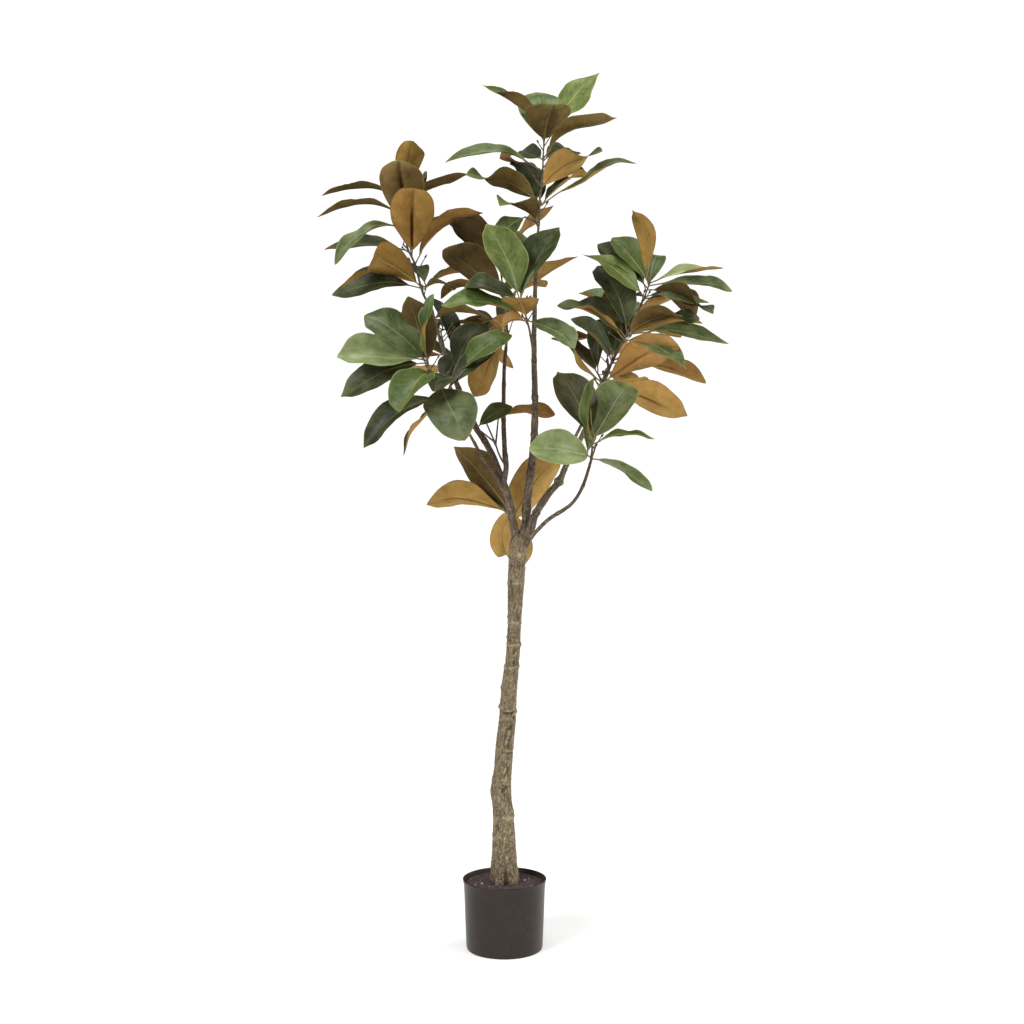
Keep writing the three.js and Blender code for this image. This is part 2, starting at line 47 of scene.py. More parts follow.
# a node tree, and the few kinds of node that the skins are made of
class Nodes:
    def __init__(self, tree):
        self.tree = tree

    def feed(self, socket, value):
        if isinstance(value, bpy.types.NodeSocket):
            self.tree.links.new(value, socket)
        else:
            socket.default_value = value

    def add(self, kind, values=None, **settings):
        made = self.tree.nodes.new("ShaderNode" + kind)
        for name, value in settings.items():
            setattr(made, name, value)
        for name, value in (values or {}).items():
            self.feed(made.inputs[name], value)
        return made

    def math(self, operation, a, b=0.0, clamp=False):
        return self.add("Math", {0: a, 1: b}, operation=operation, use_clamp=clamp).outputs[0]

    def plus(self, a, b, clamp=False):
        return self.math("ADD", a, b, clamp)

    def minus(self, a, b, clamp=False):
        return self.math("SUBTRACT", a, b, clamp)

    def times(self, a, b, clamp=False):
        return self.math("MULTIPLY", a, b, clamp)

    # a noise's swing to both sides of nothing
    def swing(self, value, spread):
        return self.times(self.minus(value, 0.5), spread)

    def ramp(self, value, low, high, toLow=0.0, toHigh=1.0):
        ends = {"Value": value, "From Min": low, "From Max": high, "To Min": toLow, "To Max": toHigh}
        return self.add("MapRange", ends, interpolation_type="SMOOTHSTEP").outputs["Result"]

    def blend(self, share, first, second, way="MIX"):
        node = self.add("Mix", data_type="RGBA", blend_type=way)
        sockets = {socket.identifier: socket for socket in [*node.inputs, *node.outputs]}
        for name, value in (("Factor_Float", share), ("A_Color", first), ("B_Color", second)):
            self.feed(sockets[name], value)
        return sockets["Result_Color"]

    def grain(self, vector, scale, detail=3.0, rough=0.6, stretch=(1, 1, 1)):
        stretched = self.add("VectorMath", {0: vector, 1: stretch}, operation="MULTIPLY").outputs[0]
        values = {"Vector": stretched, "Scale": scale, "Detail": detail, "Roughness": rough}
        return self.add("TexNoise", values).outputs["Fac"]

    def vectorOf(self, name):
        return self.add("Attribute", attribute_name=name).outputs["Vector"]

    def partsOf(self, name):
        return self.add("SeparateXYZ", {"Vector": self.vectorOf(name)}).outputs


def newGroup(name, colors, numbers, gives):
    tree = bpy.data.node_groups.new(name, "ShaderNodeTree")
    for side, kind, labels in (("INPUT", "Color", colors), ("INPUT", "Float", numbers),
                               ("OUTPUT", "Color", ["Color"]), ("OUTPUT", "Float", gives)):
        for label in labels:
            tree.interface.new_socket(label, in_out=side, socket_type="NodeSocket" + kind)
    return Nodes(tree), tree.nodes.new("NodeGroupInput").outputs, tree.nodes.new("NodeGroupOutput").inputs


def addObject(name, data):
    made = bpy.data.objects.new(name, data)
    bpy.context.scene.collection.objects.link(made)
    return made


# gathers the points, faces, map and materials of one piece before it is made
class PieceMaker:
    def __init__(self, name):
        self.name = name
        self.points, self.faces, self.faceSlots, self.corners = [], [], [], []
        self.values = {}
        self.materials = []

    def addFaces(self, first, faces, material):
        if material not in self.materials:
            self.materials.append(material)
        self.faces.extend([tuple(first + i for i in face) for face in faces])
        self.faceSlots.extend([self.materials.index(material)] * len(faces))

    # points is a list of rows, values holds a vector per point for the materials to read
    def add(self, points, faces, material, values=None, corners=()):
        self.addFaces(len(self.points), faces, material)
        self.points.extend(points)
        for label, vectors in (values or {}).items():
            self.values.setdefault(label, []).extend(vectors)
        self.corners.extend(corners)

    def make(self, node):
        mesh = bpy.data.meshes.new(self.name)
        mesh.from_pydata([tuple(point) for point in np.array(self.points) * mm], [], self.faces)
        mesh.polygons.foreach_set("material_index", self.faceSlots)
        mesh.polygons.foreach_set("use_smooth", [True] * len(self.faces))
        for label, vectors in self.values.items():
            attribute = mesh.attributes.new(label, "FLOAT_VECTOR", "POINT")
            attribute.data.foreach_set("vector", np.array(vectors, float).ravel())
        if self.corners:
            layer = mesh.uv_layers.new(name="OFBake")
            layer.data.foreach_set("uv", np.array(self.corners, float).ravel())
        for material in self.materials:
            mesh.materials.append(bpy.data.materials[material])
        mesh.update()
        piece = addObject(self.name, mesh)
        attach(piece, "root")
        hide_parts(node)


# faces between rings of points, closed round each ring, with one face over each end
def tubeFaces(rings, sides):
    faces = []
    for low in range(0, (rings - 1) * sides, sides):
        high = low + sides
        for i in range(sides):
            j = (i + 1) % sides
            faces.append((low + i, low + j, high + j, high + i))
    faces.append(tuple(reversed(range(sides))))
    faces.append(tuple(range((rings - 1) * sides, rings * sides)))
    return faces


def levelRing(radius, height, segments):
    turns = [2 * math.pi * i / segments for i in range(segments)]
    return [(radius * math.cos(turn), radius * math.sin(turn), height) for turn in turns]


# rows of faces from a middle point over level rings to a last middle point
def turnedRows(rings, segments):
    pairs = [(i, (i + 1) % segments) for i in range(segments)]
    last = 1 + (rings - 1) * segments
    rows = [[(0, 1 + j, 1 + i) for i, j in pairs]]
    for low in range(1, last, segments):
        high = low + segments
        rows.append([(low + i, low + j, high + j, high + i) for i, j in pairs])
    rows.append([(last + i, last + j, last + segments) for i, j in pairs])
    return rows


# Camera and light.

cameraView = {
    "at": (15.4, -2748, 896), "focalPixels": 1335, "pictureWidth": 1024, "filmWidth": 36,
    "farClip": 100,  # metres
}

studio = {
    "roomWhite": 0.3, "backdropWhite": 1.1,
    # name: place in metres, width in metres, watts
    "softboxes": {
        "softboxLeft": ((-2.4, -2.8, 2.6), 1.8, 102),
        "softboxRight": ((2.8, -1.6, 1.9), 1.6, 44),
        "softboxBack": ((2.6, 1.1, 1.1), 1.8, 36),
        "softboxTop": ((-0.3, -0.5, 5.2), 2.6, 96),
    },
    "aim": (0.02, 0, 1.1),
}


def setCamera():
    data = bpy.data.cameras.new("camera")
    data.sensor_width = cameraView["filmWidth"]
    data.lens = cameraView["focalPixels"] * cameraView["filmWidth"] / cameraView["pictureWidth"]
    data.clip_end = cameraView["farClip"]
    camera = addObject("camera", data)
    camera.location = Vector(cameraView["at"]) * mm
    camera.rotation_euler = (math.radians(90), 0, 0)  # level, looking along +Y
    bpy.context.scene.camera = camera


def setStudio():
    world = bpy.data.worlds.new("studio")
    world.use_nodes = True
    world.node_tree.nodes.clear()
    nodes = Nodes(world.node_tree)
    room, backdrop = (nodes.add("Background", {"Color": (1, 1, 1, 1), "Strength": studio[name]}).outputs[0]
                      for name in ("roomWhite", "backdropWhite"))
    seen = nodes.add("LightPath").outputs["Is Camera Ray"]
    either = nodes.add("MixShader", {"Fac": seen, 1: room, 2: backdrop})
    nodes.add("OutputWorld", {"Surface": either.outputs[0]})
    bpy.context.scene.world = world
    for name, (place, size, watts) in studio["softboxes"].items():
        light = bpy.data.lights.new(name, "AREA")
        light.shape = "DISK"
        light.size = size
        light.energy = watts
        lamp = addObject(name, light)
        lamp.location = place
        lamp.rotation_euler = (Vector(studio["aim"]) - Vector(place)).to_track_quat("-Z", "Y").to_euler()
    bpy.context.scene.view_settings.view_transform = "Standard"


setCamera()
setStudio()
print("camera and studio ready")

# Vectors, curves and seeded numbers.

up = np.array([0.0, 0.0, 1.0])
front = np.array([0.0, -1.0, 0.0])
right = np.array([1.0, 0.0, 0.0])


def unit(vector):
    return vector / np.linalg.norm(vector)


def direction(bearing, lift):
    turn, rise = math.radians(bearing), math.radians(lift)
    return np.array([math.cos(turn) * math.cos(rise), math.sin(turn) * math.cos(rise), math.sin(rise)])


def smoothStep(value, low, high):
    share = np.clip((value - low) / (high - low), 0, 1)
    return share * share * (3 - 2 * share)


# a rounded bump: 1 in the middle, a third at a gap of 1, next to nothing from 2.5
def bell(gap):
    return math.exp(-(gap**2))


# the same seed always gives the same run of numbers
def seeded(seed):
    state = [seed]

    def draw(low=0.0, high=1.0):
        state[0] = (state[0] * 1664525 + 1013904223) % 4294967296
        return low + (high - low) * state[0] / 4294967296

    return draw


# noise on a limb, with one scale across it and another along it
def barkNoise(spot, across, along, shift=0):
    return noise.noise(Vector((spot[0] * across, spot[1] * across, spot[2] * along + shift)))


def lineLength(line):
    return float(np.linalg.norm(np.diff(line, axis=0), axis=1).sum())


def spotOn(line, distance):
    left = distance
    for start, end in zip(line[:-1], line[1:]):
        step = np.linalg.norm(end - start)
        if left <= step or end is line[-1]:
            break
        left -= step
    return start + (end - start) * left / step


# a smooth line through a course of points, with a point every few millimetres
def smoothCourse(course, spacing):
    given = [np.array(point[:3], float) for point in course]
    knots = [2 * given[0] - given[1]] + given + [2 * given[-1] - given[-2]]
    dense = []
    for a, b, c, d in zip(knots, knots[1:], knots[2:], knots[3:]):
        da, db, dc = (max(np.dot(q - p, q - p) ** 0.25, 1e-4) for p, q in ((a, b), (b, c), (c, d)))
        leave = ((b - a) / da - (c - a) / (da + db) + (c - b) / db) * db
        arrive = ((c - b) / db - (d - b) / (db + dc) + (d - c) / dc) * db
        for t in np.arange(0, 1, 0.02):
            dense.append(b + leave * t + (3 * (c - b) - 2 * leave - arrive) * t**2
                         + (2 * (b - c) + leave + arrive) * t**3)
    dense = np.array(dense + [given[-1]])
    walked = np.concatenate([[0], np.cumsum(np.linalg.norm(np.diff(dense, axis=0), axis=1))])
    stops = np.linspace(0, walked[-1], max(2, int(walked[-1] / spacing) + 1))
    return np.stack([np.interp(stops, walked, dense[:, axis]) for axis in range(3)], axis=1)


# two cross directions at every point of a line, without twist
def crossesAlong(line):
    headings = np.gradient(line, axis=0)
    headings /= np.linalg.norm(headings, axis=1)[:, None]
    steep = abs(headings[0][2]) > 0.9
    across = unit(np.cross(headings[0], front if steep else up))
    crossed = []
    for heading in headings:
        across = unit(across - heading * np.dot(across, heading))
        crossed.append((across, np.cross(heading, across)))
    return crossed


# Shader node groups.

leafColors = ("Body", "Shade", "Light", "Vein", "Rim")
leafMarks = {
    "blotchScale": 0.03, "cloudScale": 0.075, "speckScale": 0.5,  # per millimetre
    "veinPairs": 9.5, "veinBow": 1.25, "veinSlant": 2.3,
    "veinWobble": 1.1, "veinUneven": 2.4,  # how far a vein strays, in shares of the way to the next
    "sunkWidth": 5.0, "rimWidth": 2.4,  # millimetres
    "ribFoot": 2.3,  # how much wider the midrib is at the leaf's foot than at its tip
    "tipDry": 0.35,  # share of the rim's colour on the tip
    "lightSpan": 0.17, "speckle": 0.18, "warmSpan": 0.012,
}


# A leaf's face: soft mottling, side veins, painted shade along a sunk midrib, the midrib and pale rim.
# leafSpot is across and along in millimetres and a number of its own. leafShare is across and along as
# shares, and half the width there in millimetres. leafTone is lightness, which is partly painted light and
# shade, how dark the painted shade along the sunk midrib is, and warmth.
def buildLeafFace():
    marks = leafMarks
    skin, given, gives = newGroup("leafFace", leafColors, ("Mottle", "Veins", "Midrib", "Felt", "Gloss"),
                                  ("Roughness", "Height"))
    spot = skin.vectorOf("leafSpot")
    share = skin.partsOf("leafShare")
    tone = skin.partsOf("leafTone")
    along = share["Y"]
    side = skin.math("ABSOLUTE", share["X"])
    fromRib = skin.times(side, share["Z"])
    fromEdge = skin.times(skin.minus(1.0, side), share["Z"])

    blotch = skin.grain(spot, marks["blotchScale"], 3.0, 0.55)
    cloud = skin.grain(spot, marks["cloudScale"], 4.0, 0.6, (1, 0.6, 1))
    speck = skin.grain(spot, marks["speckScale"])
    dim = skin.times(skin.ramp(cloud, 0.42, 0.7), given["Mottle"])
    lit = skin.times(skin.ramp(blotch, 0.4, 0.66), given["Mottle"])
    color = skin.blend(lit, skin.blend(dim, given["Body"], given["Shade"]), given["Light"])

    # side veins run out and forward from the midrib, each a little unlike the next
    slant = skin.times(skin.math("POWER", side, marks["veinBow"]), marks["veinSlant"])
    strayed = skin.plus(skin.swing(cloud, marks["veinWobble"]), skin.swing(blotch, marks["veinUneven"]))
    phase = skin.plus(skin.minus(skin.times(along, marks["veinPairs"]), slant), strayed)
    wave = skin.math("COSINE", skin.times(phase, 2 * math.pi))
    veinLine = skin.times(skin.ramp(wave, 0.8, 1.0), skin.ramp(side, 0.95, 0.55))
    color = skin.blend(skin.times(veinLine, given["Veins"]), color, given["Vein"])

    # painted shade along a sunk midrib, darker where its groove would lie in shadow, then the midrib itself
    sunk = skin.times(skin.ramp(fromRib, marks["sunkWidth"], 0.8), skin.ramp(along, 0.85, 0.5))
    color = skin.blend(skin.times(sunk, tone["Y"], True), color, given["Shade"], "MULTIPLY")
    ribWidth = skin.ramp(along, 0.0, 1.0, marks["ribFoot"], 1.0)
    rib = skin.ramp(skin.math("DIVIDE", fromRib, ribWidth), 1.0, 0.45)
    clear = skin.times(skin.ramp(along, 1.0, 0.5, 0.3, 1), skin.minus(given["Midrib"], tone["Y"], True))
    color = skin.blend(skin.times(rib, clear, True), color, given["Vein"])

    # the rim, the dry tip, and the leaf's own lightness and warmth
    edge = skin.times(skin.ramp(fromEdge, marks["rimWidth"], 0.4), skin.ramp(cloud, 0.3, 0.6, 0.45, 1.0))
    color = skin.blend(edge, color, given["Rim"])
    color = skin.blend(skin.ramp(along, 0.86, 1.0, 0.0, marks["tipDry"]), color, given["Rim"])
    speckled = skin.plus(0.98, skin.swing(speck, marks["speckle"]))
    light = skin.plus(skin.times(tone["X"], marks["lightSpan"]), speckled)
    hue = skin.minus(0.5, skin.times(tone["Z"], marks["warmSpan"]))
    tinted = skin.add("HueSaturation", {"Hue": hue, "Color": color, "Value": light})
    skin.feed(gives["Color"], tinted.outputs["Color"])

    felt = skin.times(speck, given["Felt"])
    rough = skin.plus(given["Gloss"], skin.swing(cloud, 0.3))
    skin.feed(gives["Roughness"], skin.plus(rough, skin.times(felt, 0.1), True))
    relief = skin.plus(skin.times(veinLine, -0.5), skin.times(cloud, 0.9))
    skin.feed(gives["Height"], skin.plus(skin.plus(relief, skin.times(rib, -0.5)), felt))


barkMarks = {
    "patchScale": 0.055, "streakScale": 0.3,  # per millimetre
    "streakStretch": 0.16, "crackStretch": 0.35, "grainStretch": 0.55,  # scale along the limb against across
    "crackWidth": 0.045,
}


# Bark: long cracks, grain and worn pale patches, with painted shade in the hollows of the relief and painted
# highlight on its crests. barkSpot runs round and along the limb in millimetres, and the relief vector starts
# with how far the bark stands out there.
def buildBarkSkin():
    marks = barkMarks
    skin, given, gives = newGroup("barkSkin", ("Body", "Dark", "Pale", "Moss"),
                                  ("Crack Scale", "Grain Scale", "Crack", "Wear"), ("Roughness", "Height"))
    spot = skin.vectorOf("barkSpot")
    depth = skin.partsOf("barkRelief")["X"]
    crackNoise = skin.grain(spot, given["Crack Scale"], 4.0, 0.6, (1, 1, marks["crackStretch"]))
    ridge = skin.math("ABSOLUTE", skin.minus(crackNoise, 0.5))
    crack = skin.times(skin.ramp(ridge, marks["crackWidth"], 0.0), given["Crack"])
    grain = skin.grain(spot, given["Grain Scale"], 4.0, 0.7, (1, 1, marks["grainStretch"]))
    patch = skin.grain(spot, marks["patchScale"])
    streak = skin.grain(spot, marks["streakScale"], stretch=(1, 1, marks["streakStretch"]))
    color = skin.blend(skin.ramp(patch, 0.36, 0.64), given["Body"], given["Moss"])
    # each layer is a mask and the colour that it lays over the ones before it
    for mask, paint in (
        (skin.times(skin.ramp(grain, 0.5, 0.72), given["Wear"]), "Pale"),
        (skin.ramp(grain, 0.48, 0.3, 0, 0.7), "Dark"),
        (skin.ramp(streak, 0.52, 0.72, 0, 0.5), "Pale"),
        (skin.ramp(streak, 0.46, 0.28, 0, 0.45), "Dark"),
        (crack, "Dark"),
        # painted shade in the hollows of the relief, and painted highlight on its crests
        (skin.ramp(depth, -0.1, -0.9, 0, 0.7), "Dark"),
        (skin.ramp(depth, 0.3, 1.1, 0, 0.55), "Pale"),
    ):
        color = skin.blend(mask, color, given[paint])
    skin.feed(gives["Color"], color)
    skin.feed(gives["Roughness"], skin.ramp(grain, 0.3, 0.7, 0.92, 0.74))
    skin.feed(gives["Height"], skin.minus(grain, crack))


# Fine dust and scuffs, for the pot and the fill. Its scales are per metre.
def buildDust():
    skin, given, gives = newGroup("dust", ("Under", "Dust"), ("Scale", "Amount"), ("Mask", "Height"))
    place = skin.add("TexCoord").outputs["Object"]
    fine = skin.grain(place, given["Scale"], 5.0, 0.65)
    broad = skin.grain(place, 14.0, 3.0, 0.5)
    mask = skin.times(skin.ramp(fine, 0.48, 0.75), skin.ramp(broad, 0.35, 0.7, 0.3, 1.0))
    mask = skin.times(mask, given["Amount"], True)
    skin.feed(gives["Color"], skin.blend(mask, given["Under"], given["Dust"]))
    skin.feed(gives["Mask"], mask)
    skin.feed(gives["Height"], fine)


buildLeafFace()
buildBarkSkin()
buildDust()

# Materials.

# linear colour of a paint given as red, green and blue from 0 to 255
def tint(*paint):
    shares = [value / 255 for value in paint]
    return (*(s / 12.92 if s <= 0.04045 else ((s + 0.055) / 1.055) ** 2.4 for s in shares), 1)


def newMaterial(name, specular=0.5, roughness=0.5):
    material = bpy.data.materials.new(name)
    material.use_nodes = True
    shader = material.node_tree.nodes["Principled BSDF"]
    shader.inputs["Roughness"].default_value = roughness
    shader.inputs["Specular IOR Level"].default_value = specular
    return Nodes(material.node_tree), shader


def useGroup(nodes, shader, groupName, values, bump, distance):
    skin = nodes.add("Group", values, node_tree=bpy.data.node_groups[groupName])
    nodes.feed(shader.inputs["Base Color"], skin.outputs["Color"])
    if "Roughness" in skin.outputs:
        nodes.feed(shader.inputs["Roughness"], skin.outputs["Roughness"])
    raised = nodes.add("Bump", {"Strength": bump, "Distance": distance, "Height": skin.outputs["Height"]})
    nodes.feed(shader.inputs["Normal"], raised.outputs["Normal"])
    return skin


# roughness of each paint, then its colours in the order of leafColors
coatedPaints = {
    "springGreen": (0.4, (98, 110, 54), (76, 88, 40), (126, 138, 78), (160, 166, 110), (168, 170, 104)),
    "paleGreen": (0.38, (132, 141, 90), (106, 119, 68), (156, 164, 116), (166, 172, 124), (168, 172, 112)),
    "leafGreen": (0.42, (76, 93, 42), (56, 71, 30), (102, 116, 62), (136, 144, 86), (148, 152, 84)),
    "sageGreen": (0.44, (78, 90, 48), (56, 68, 34), (108, 117, 76), (140, 142, 98), (142, 144, 88)),
    "deepGreen": (0.46, (55, 62, 34), (40, 46, 25), (82, 88, 56), (112, 113, 74), (118, 116, 68)),
    "oliveGreen": (0.42, (66, 63, 39), (46, 46, 27), (84, 82, 52), (110, 104, 66), (122, 114, 66)),
    "leafStalk": (0.6, (136, 116, 82), (106, 88, 58), (162, 144, 108), (132, 110, 72), (132, 110, 72)),
}
feltedPaints = {
    # ochreFelt's dark vein and midrib colour is partly the felt's own and partly painted shade along the fold
    "ochreFelt": (0.8, (173, 131, 74), (142, 102, 52), (194, 155, 98), (128, 92, 50), (138, 106, 62)),
    "tanFelt": (0.8, (148, 110, 56), (114, 81, 38), (172, 132, 76), (186, 154, 104), (116, 90, 50)),
    "umberFelt": (0.8, (110, 88, 50), (80, 63, 34), (134, 110, 66), (166, 142, 96), (136, 128, 78)),
    "darkFelt": (0.8, (84, 66, 38), (60, 47, 27), (104, 84, 52), (138, 116, 78), (112, 104, 62)),
}
# how the paints of the upper sides and of the felted undersides are laid on, and how much they shine
leafFinishes = (
    (coatedPaints, {"Felt": 0, "Mottle": 0.8, "Veins": 0.2, "Midrib": 0.85}, 0.27),
    (feltedPaints, {"Felt": 1, "Mottle": 0.5, "Veins": 0.1, "Midrib": 1.0}, 0.1),
)
for paints, finish, specular in leafFinishes:
    for paintName, (roughness, *colors) in paints.items():
        nodes, shader = newMaterial(paintName, specular)
        values = {label: tint(*color) for label, color in zip(leafColors, colors)}
        useGroup(nodes, shader, "leafFace", {**values, **finish, "Gloss": roughness}, 0.5, 0.0006)

barkPaints = {
    "trunkBark": {
        "Body": tint(143, 127, 101), "Dark": tint(70, 58, 42), "Pale": tint(198, 182, 143),
        "Moss": tint(121, 106, 83), "Crack Scale": 0.3, "Grain Scale": 0.46, "Crack": 0.5, "Wear": 0.7,
    },
    "boughBark": {
        "Body": tint(122, 107, 91), "Dark": tint(62, 50, 41), "Pale": tint(182, 166, 142),
        "Moss": tint(100, 86, 70), "Crack Scale": 0.3, "Grain Scale": 0.34, "Crack": 0.6, "Wear": 0.8,
    },
}
for paintName, paint in barkPaints.items():
    nodes, shader = newMaterial(paintName, 0.3)
    useGroup(nodes, shader, "barkSkin", paint, 0.9, 0.0014)

# the colour under the dust, and the dust; the inside's lighter under colour is partly dust and partly painted
# light on the inner wall
potPaints = {"potPlastic": ((44, 35, 28), (74, 61, 52)), "potInside": ((66, 53, 44), (86, 72, 62))}
gritPaints = {"fillGrit": ((72, 57, 59), (134, 116, 114)), "paleGrit": ((216, 211, 204), (236, 233, 228))}


def dustValues(under, dust, scale, amount):
    return {"Under": tint(*under), "Dust": tint(*dust), "Scale": scale, "Amount": amount}


for paintName, colors in potPaints.items():
    nodes, shader = newMaterial(paintName, 0.25)
    skin = useGroup(nodes, shader, "dust", dustValues(*colors, 60.0, 0.3), 0.12, 0.0004)
    nodes.feed(shader.inputs["Roughness"], nodes.ramp(skin.outputs["Mask"], 0.0, 0.4, 0.36, 0.5))
for paintName, colors in gritPaints.items():
    nodes, shader = newMaterial(paintName, roughness=0.92)
    useGroup(nodes, shader, "dust", dustValues(*colors, 150.0, 0.8), 0.8, 0.0012)
print("materials ready")

# The floor.

floorForm = {
    "radius": 1.5, "segments": 96,  # metres
    "color": (0.93, 0.93, 0.925, 1), "shade": (0.87, 0.87, 0.86, 1), "shadeShare": 0.3, "glow": 0.34,
}


def buildFloor():
    nodes, shader = newMaterial("paleFloor", 0.1, 0.9)
    shader.inputs["Emission Color"].default_value = (1, 1, 1, 1)
    shader.inputs["Emission Strength"].default_value = floorForm["glow"]
    clouds = nodes.grain(nodes.add("TexCoord").outputs["Object"], 0.6, 2.0, 0.55)
    share = nodes.ramp(clouds, 0.3, 0.7, 0, floorForm["shadeShare"])
    nodes.feed(shader.inputs["Base Color"], nodes.blend(share, floorForm["color"], floorForm["shade"]))
    mesh = bpy.data.meshes.new("floor")
    segments = floorForm["segments"]
    mesh.from_pydata(levelRing(floorForm["radius"], 0, segments), [], [tuple(range(segments))])
    mesh.materials.append(bpy.data.materials["paleFloor"])
    addObject("floor", mesh)


buildFloor()

# The pot and its fill.

potForm = {
    "segments": 128,
    # radius and height round the wall, from the middle of the underside to the middle of the inside floor
    "profile": [
        (0, 0), (40, 0), (75, 0), (76.3, 0.3), (77.2, 0.9), (77.7, 1.9), (78.2, 3.5), (78.5, 5), (79.1, 18),
        (80.4, 50), (81.8, 88), (82.8, 114), (83.4, 125), (83.8, 130), (84.3, 133.5), (84.9, 136.5),
        (85.2, 138.6), (85.4, 139.5), (85.8, 140.2), (86, 141), (85.9, 141.9), (85.5, 142.6), (84.9, 143),
        (84.5, 142.9), (84.2, 142.5), (83.9, 141), (83.4, 137), (82, 130), (80.2, 90), (76.6, 6), (74, 3.2),
        (0, 3),
    ],
    "insideFrom": 24,  # the ring that the inside wall starts at
}

fillForm = {
    "segments": 112, "rings": 46, "top": 134.6, "edge": 82.4,
    "level": 67, "drop": 1.6,  # the top is level up to this radius, and drops by this much at the edge
    "skirt": [(79.9, 100), (75.8, 10), (73, 3.6)],  # radius and height of the rings below the edge
    "dents": [(0.09, 0.96, 3), (0.45, 0.56, 9)],  # scale, height and place in the noise
    "mound": (27, 9, 0.2),  # radius, width and height of the ring of fill heaped about the trunk
    "stones": 620, "stonesFrom": 24, "stonesTo": 79.4, "stoneSize": (0.7, 2.1), "paleShare": 0.012, "seed": 5,
    "stoneShape": ((0.7, 1.2), (0.7, 1.2), (0.5, 0.8)), "stoneCorner": (0.75, 1.1),
    # x, y and size of white chips
    "chips": [(41, 11, 2.6), (-46, -14, 2.3), (-31, -36, 1.5), (55, -30, 1.3)],
    "stoneRise": 0.15, "chipRise": 0.3,  # share of the size that the middle stands above the fill
}


def buildPot():
    maker = PieceMaker("nurseryPot")
    (_, foot), *rings, (_, floor) = potForm["profile"]
    points = [(0.0, 0.0, foot)]
    for radius, height in rings:
        points += levelRing(radius, height, potForm["segments"])
    points.append((0.0, 0.0, floor))
    rows = turnedRows(len(rings), potForm["segments"])
    outsideRows = potForm["insideFrom"] + 1
    maker.add(points, sum(rows[:outsideRows], []), "potPlastic")
    # the inside takes the lighter paint, partly painted light on the inner wall
    maker.addFaces(0, sum(rows[outsideRows:], []), "potInside")
    maker.make("pot")


golden = (1 + 5**0.5) / 2
stoneCorners = [
    (-1, golden, 0), (1, golden, 0), (-1, -golden, 0), (1, -golden, 0), (0, -1, golden), (0, 1, golden),
    (0, -1, -golden), (0, 1, -golden), (golden, 0, -1), (golden, 0, 1), (-golden, 0, -1), (-golden, 0, 1),
]
stoneFaces = [
    (0, 11, 5), (0, 5, 1), (0, 1, 7), (0, 7, 10), (0, 10, 11), (1, 5, 9), (5, 11, 4), (11, 10, 2),
    (10, 7, 6), (7, 1, 8), (3, 9, 4), (3, 4, 2), (3, 2, 6), (3, 6, 8), (3, 8, 9), (4, 9, 5), (2, 4, 11),
    (6, 2, 10), (8, 6, 7), (9, 8, 1),
]
stoneReach = 1.9  # from a stone's middle to its corners


def fillHeight(x, y):
    form = fillForm
    radius = math.hypot(x, y)
    past = max(0, (radius - form["level"]) / (form["edge"] - form["level"]))
    height = form["top"] - form["drop"] * past**1.5
    for scale, rise, place in form["dents"]:
        height += noise.noise(Vector((x, y, place)) * scale) * rise
    middle, width, rise = form["mound"]
    return height + rise * bell((radius - middle) / width)


def buildFill():
    form = fillForm
    maker = PieceMaker("setFill")
    draw = seeded(form["seed"])
    points = [(0.0, 0.0, fillHeight(0, 0))]
    for ring in range(1, form["rings"] + 1):
        level = levelRing(form["edge"] * ring / form["rings"], 0, form["segments"])
        points += [(x, y, fillHeight(x, y)) for x, y, _ in level]
    for radius, height in form["skirt"]:
        points += levelRing(radius, height, form["segments"])
    points.append((0.0, 0.0, form["skirt"][-1][1]))
    rows = turnedRows(form["rings"] + len(form["skirt"]), form["segments"])
    faces = [(face[0], *face[:0:-1]) for row in rows for face in row]  # turned over, as the top comes first
    maker.add(points, faces, "fillGrit")

    def addStone(x, y, size, rise, paint):
        flat = [draw(*span) for span in form["stoneShape"]]
        middle = np.array([x, y, fillHeight(x, y) + size * rise])
        corners = [np.array(corner) * flat * size * draw(*form["stoneCorner"]) / stoneReach
                   for corner in stoneCorners]
        maker.add([middle + corner for corner in corners], stoneFaces, paint)

    for _ in range(form["stones"]):
        angle = draw(0, 2 * math.pi)
        radius = form["stonesFrom"] + (form["stonesTo"] - form["stonesFrom"]) * math.sqrt(draw())
        size = draw(*form["stoneSize"])
        paint = "paleGrit" if draw() < form["paleShare"] else "fillGrit"
        addStone(radius * math.cos(angle), radius * math.sin(angle), size, form["stoneRise"], paint)
    for x, y, size in form["chips"]:
        addStone(x, y, size, form["chipRise"], "paleGrit")
    maker.make("pot_fill")


buildPot()
buildFill()
print("pot and fill made")

# The trunk.

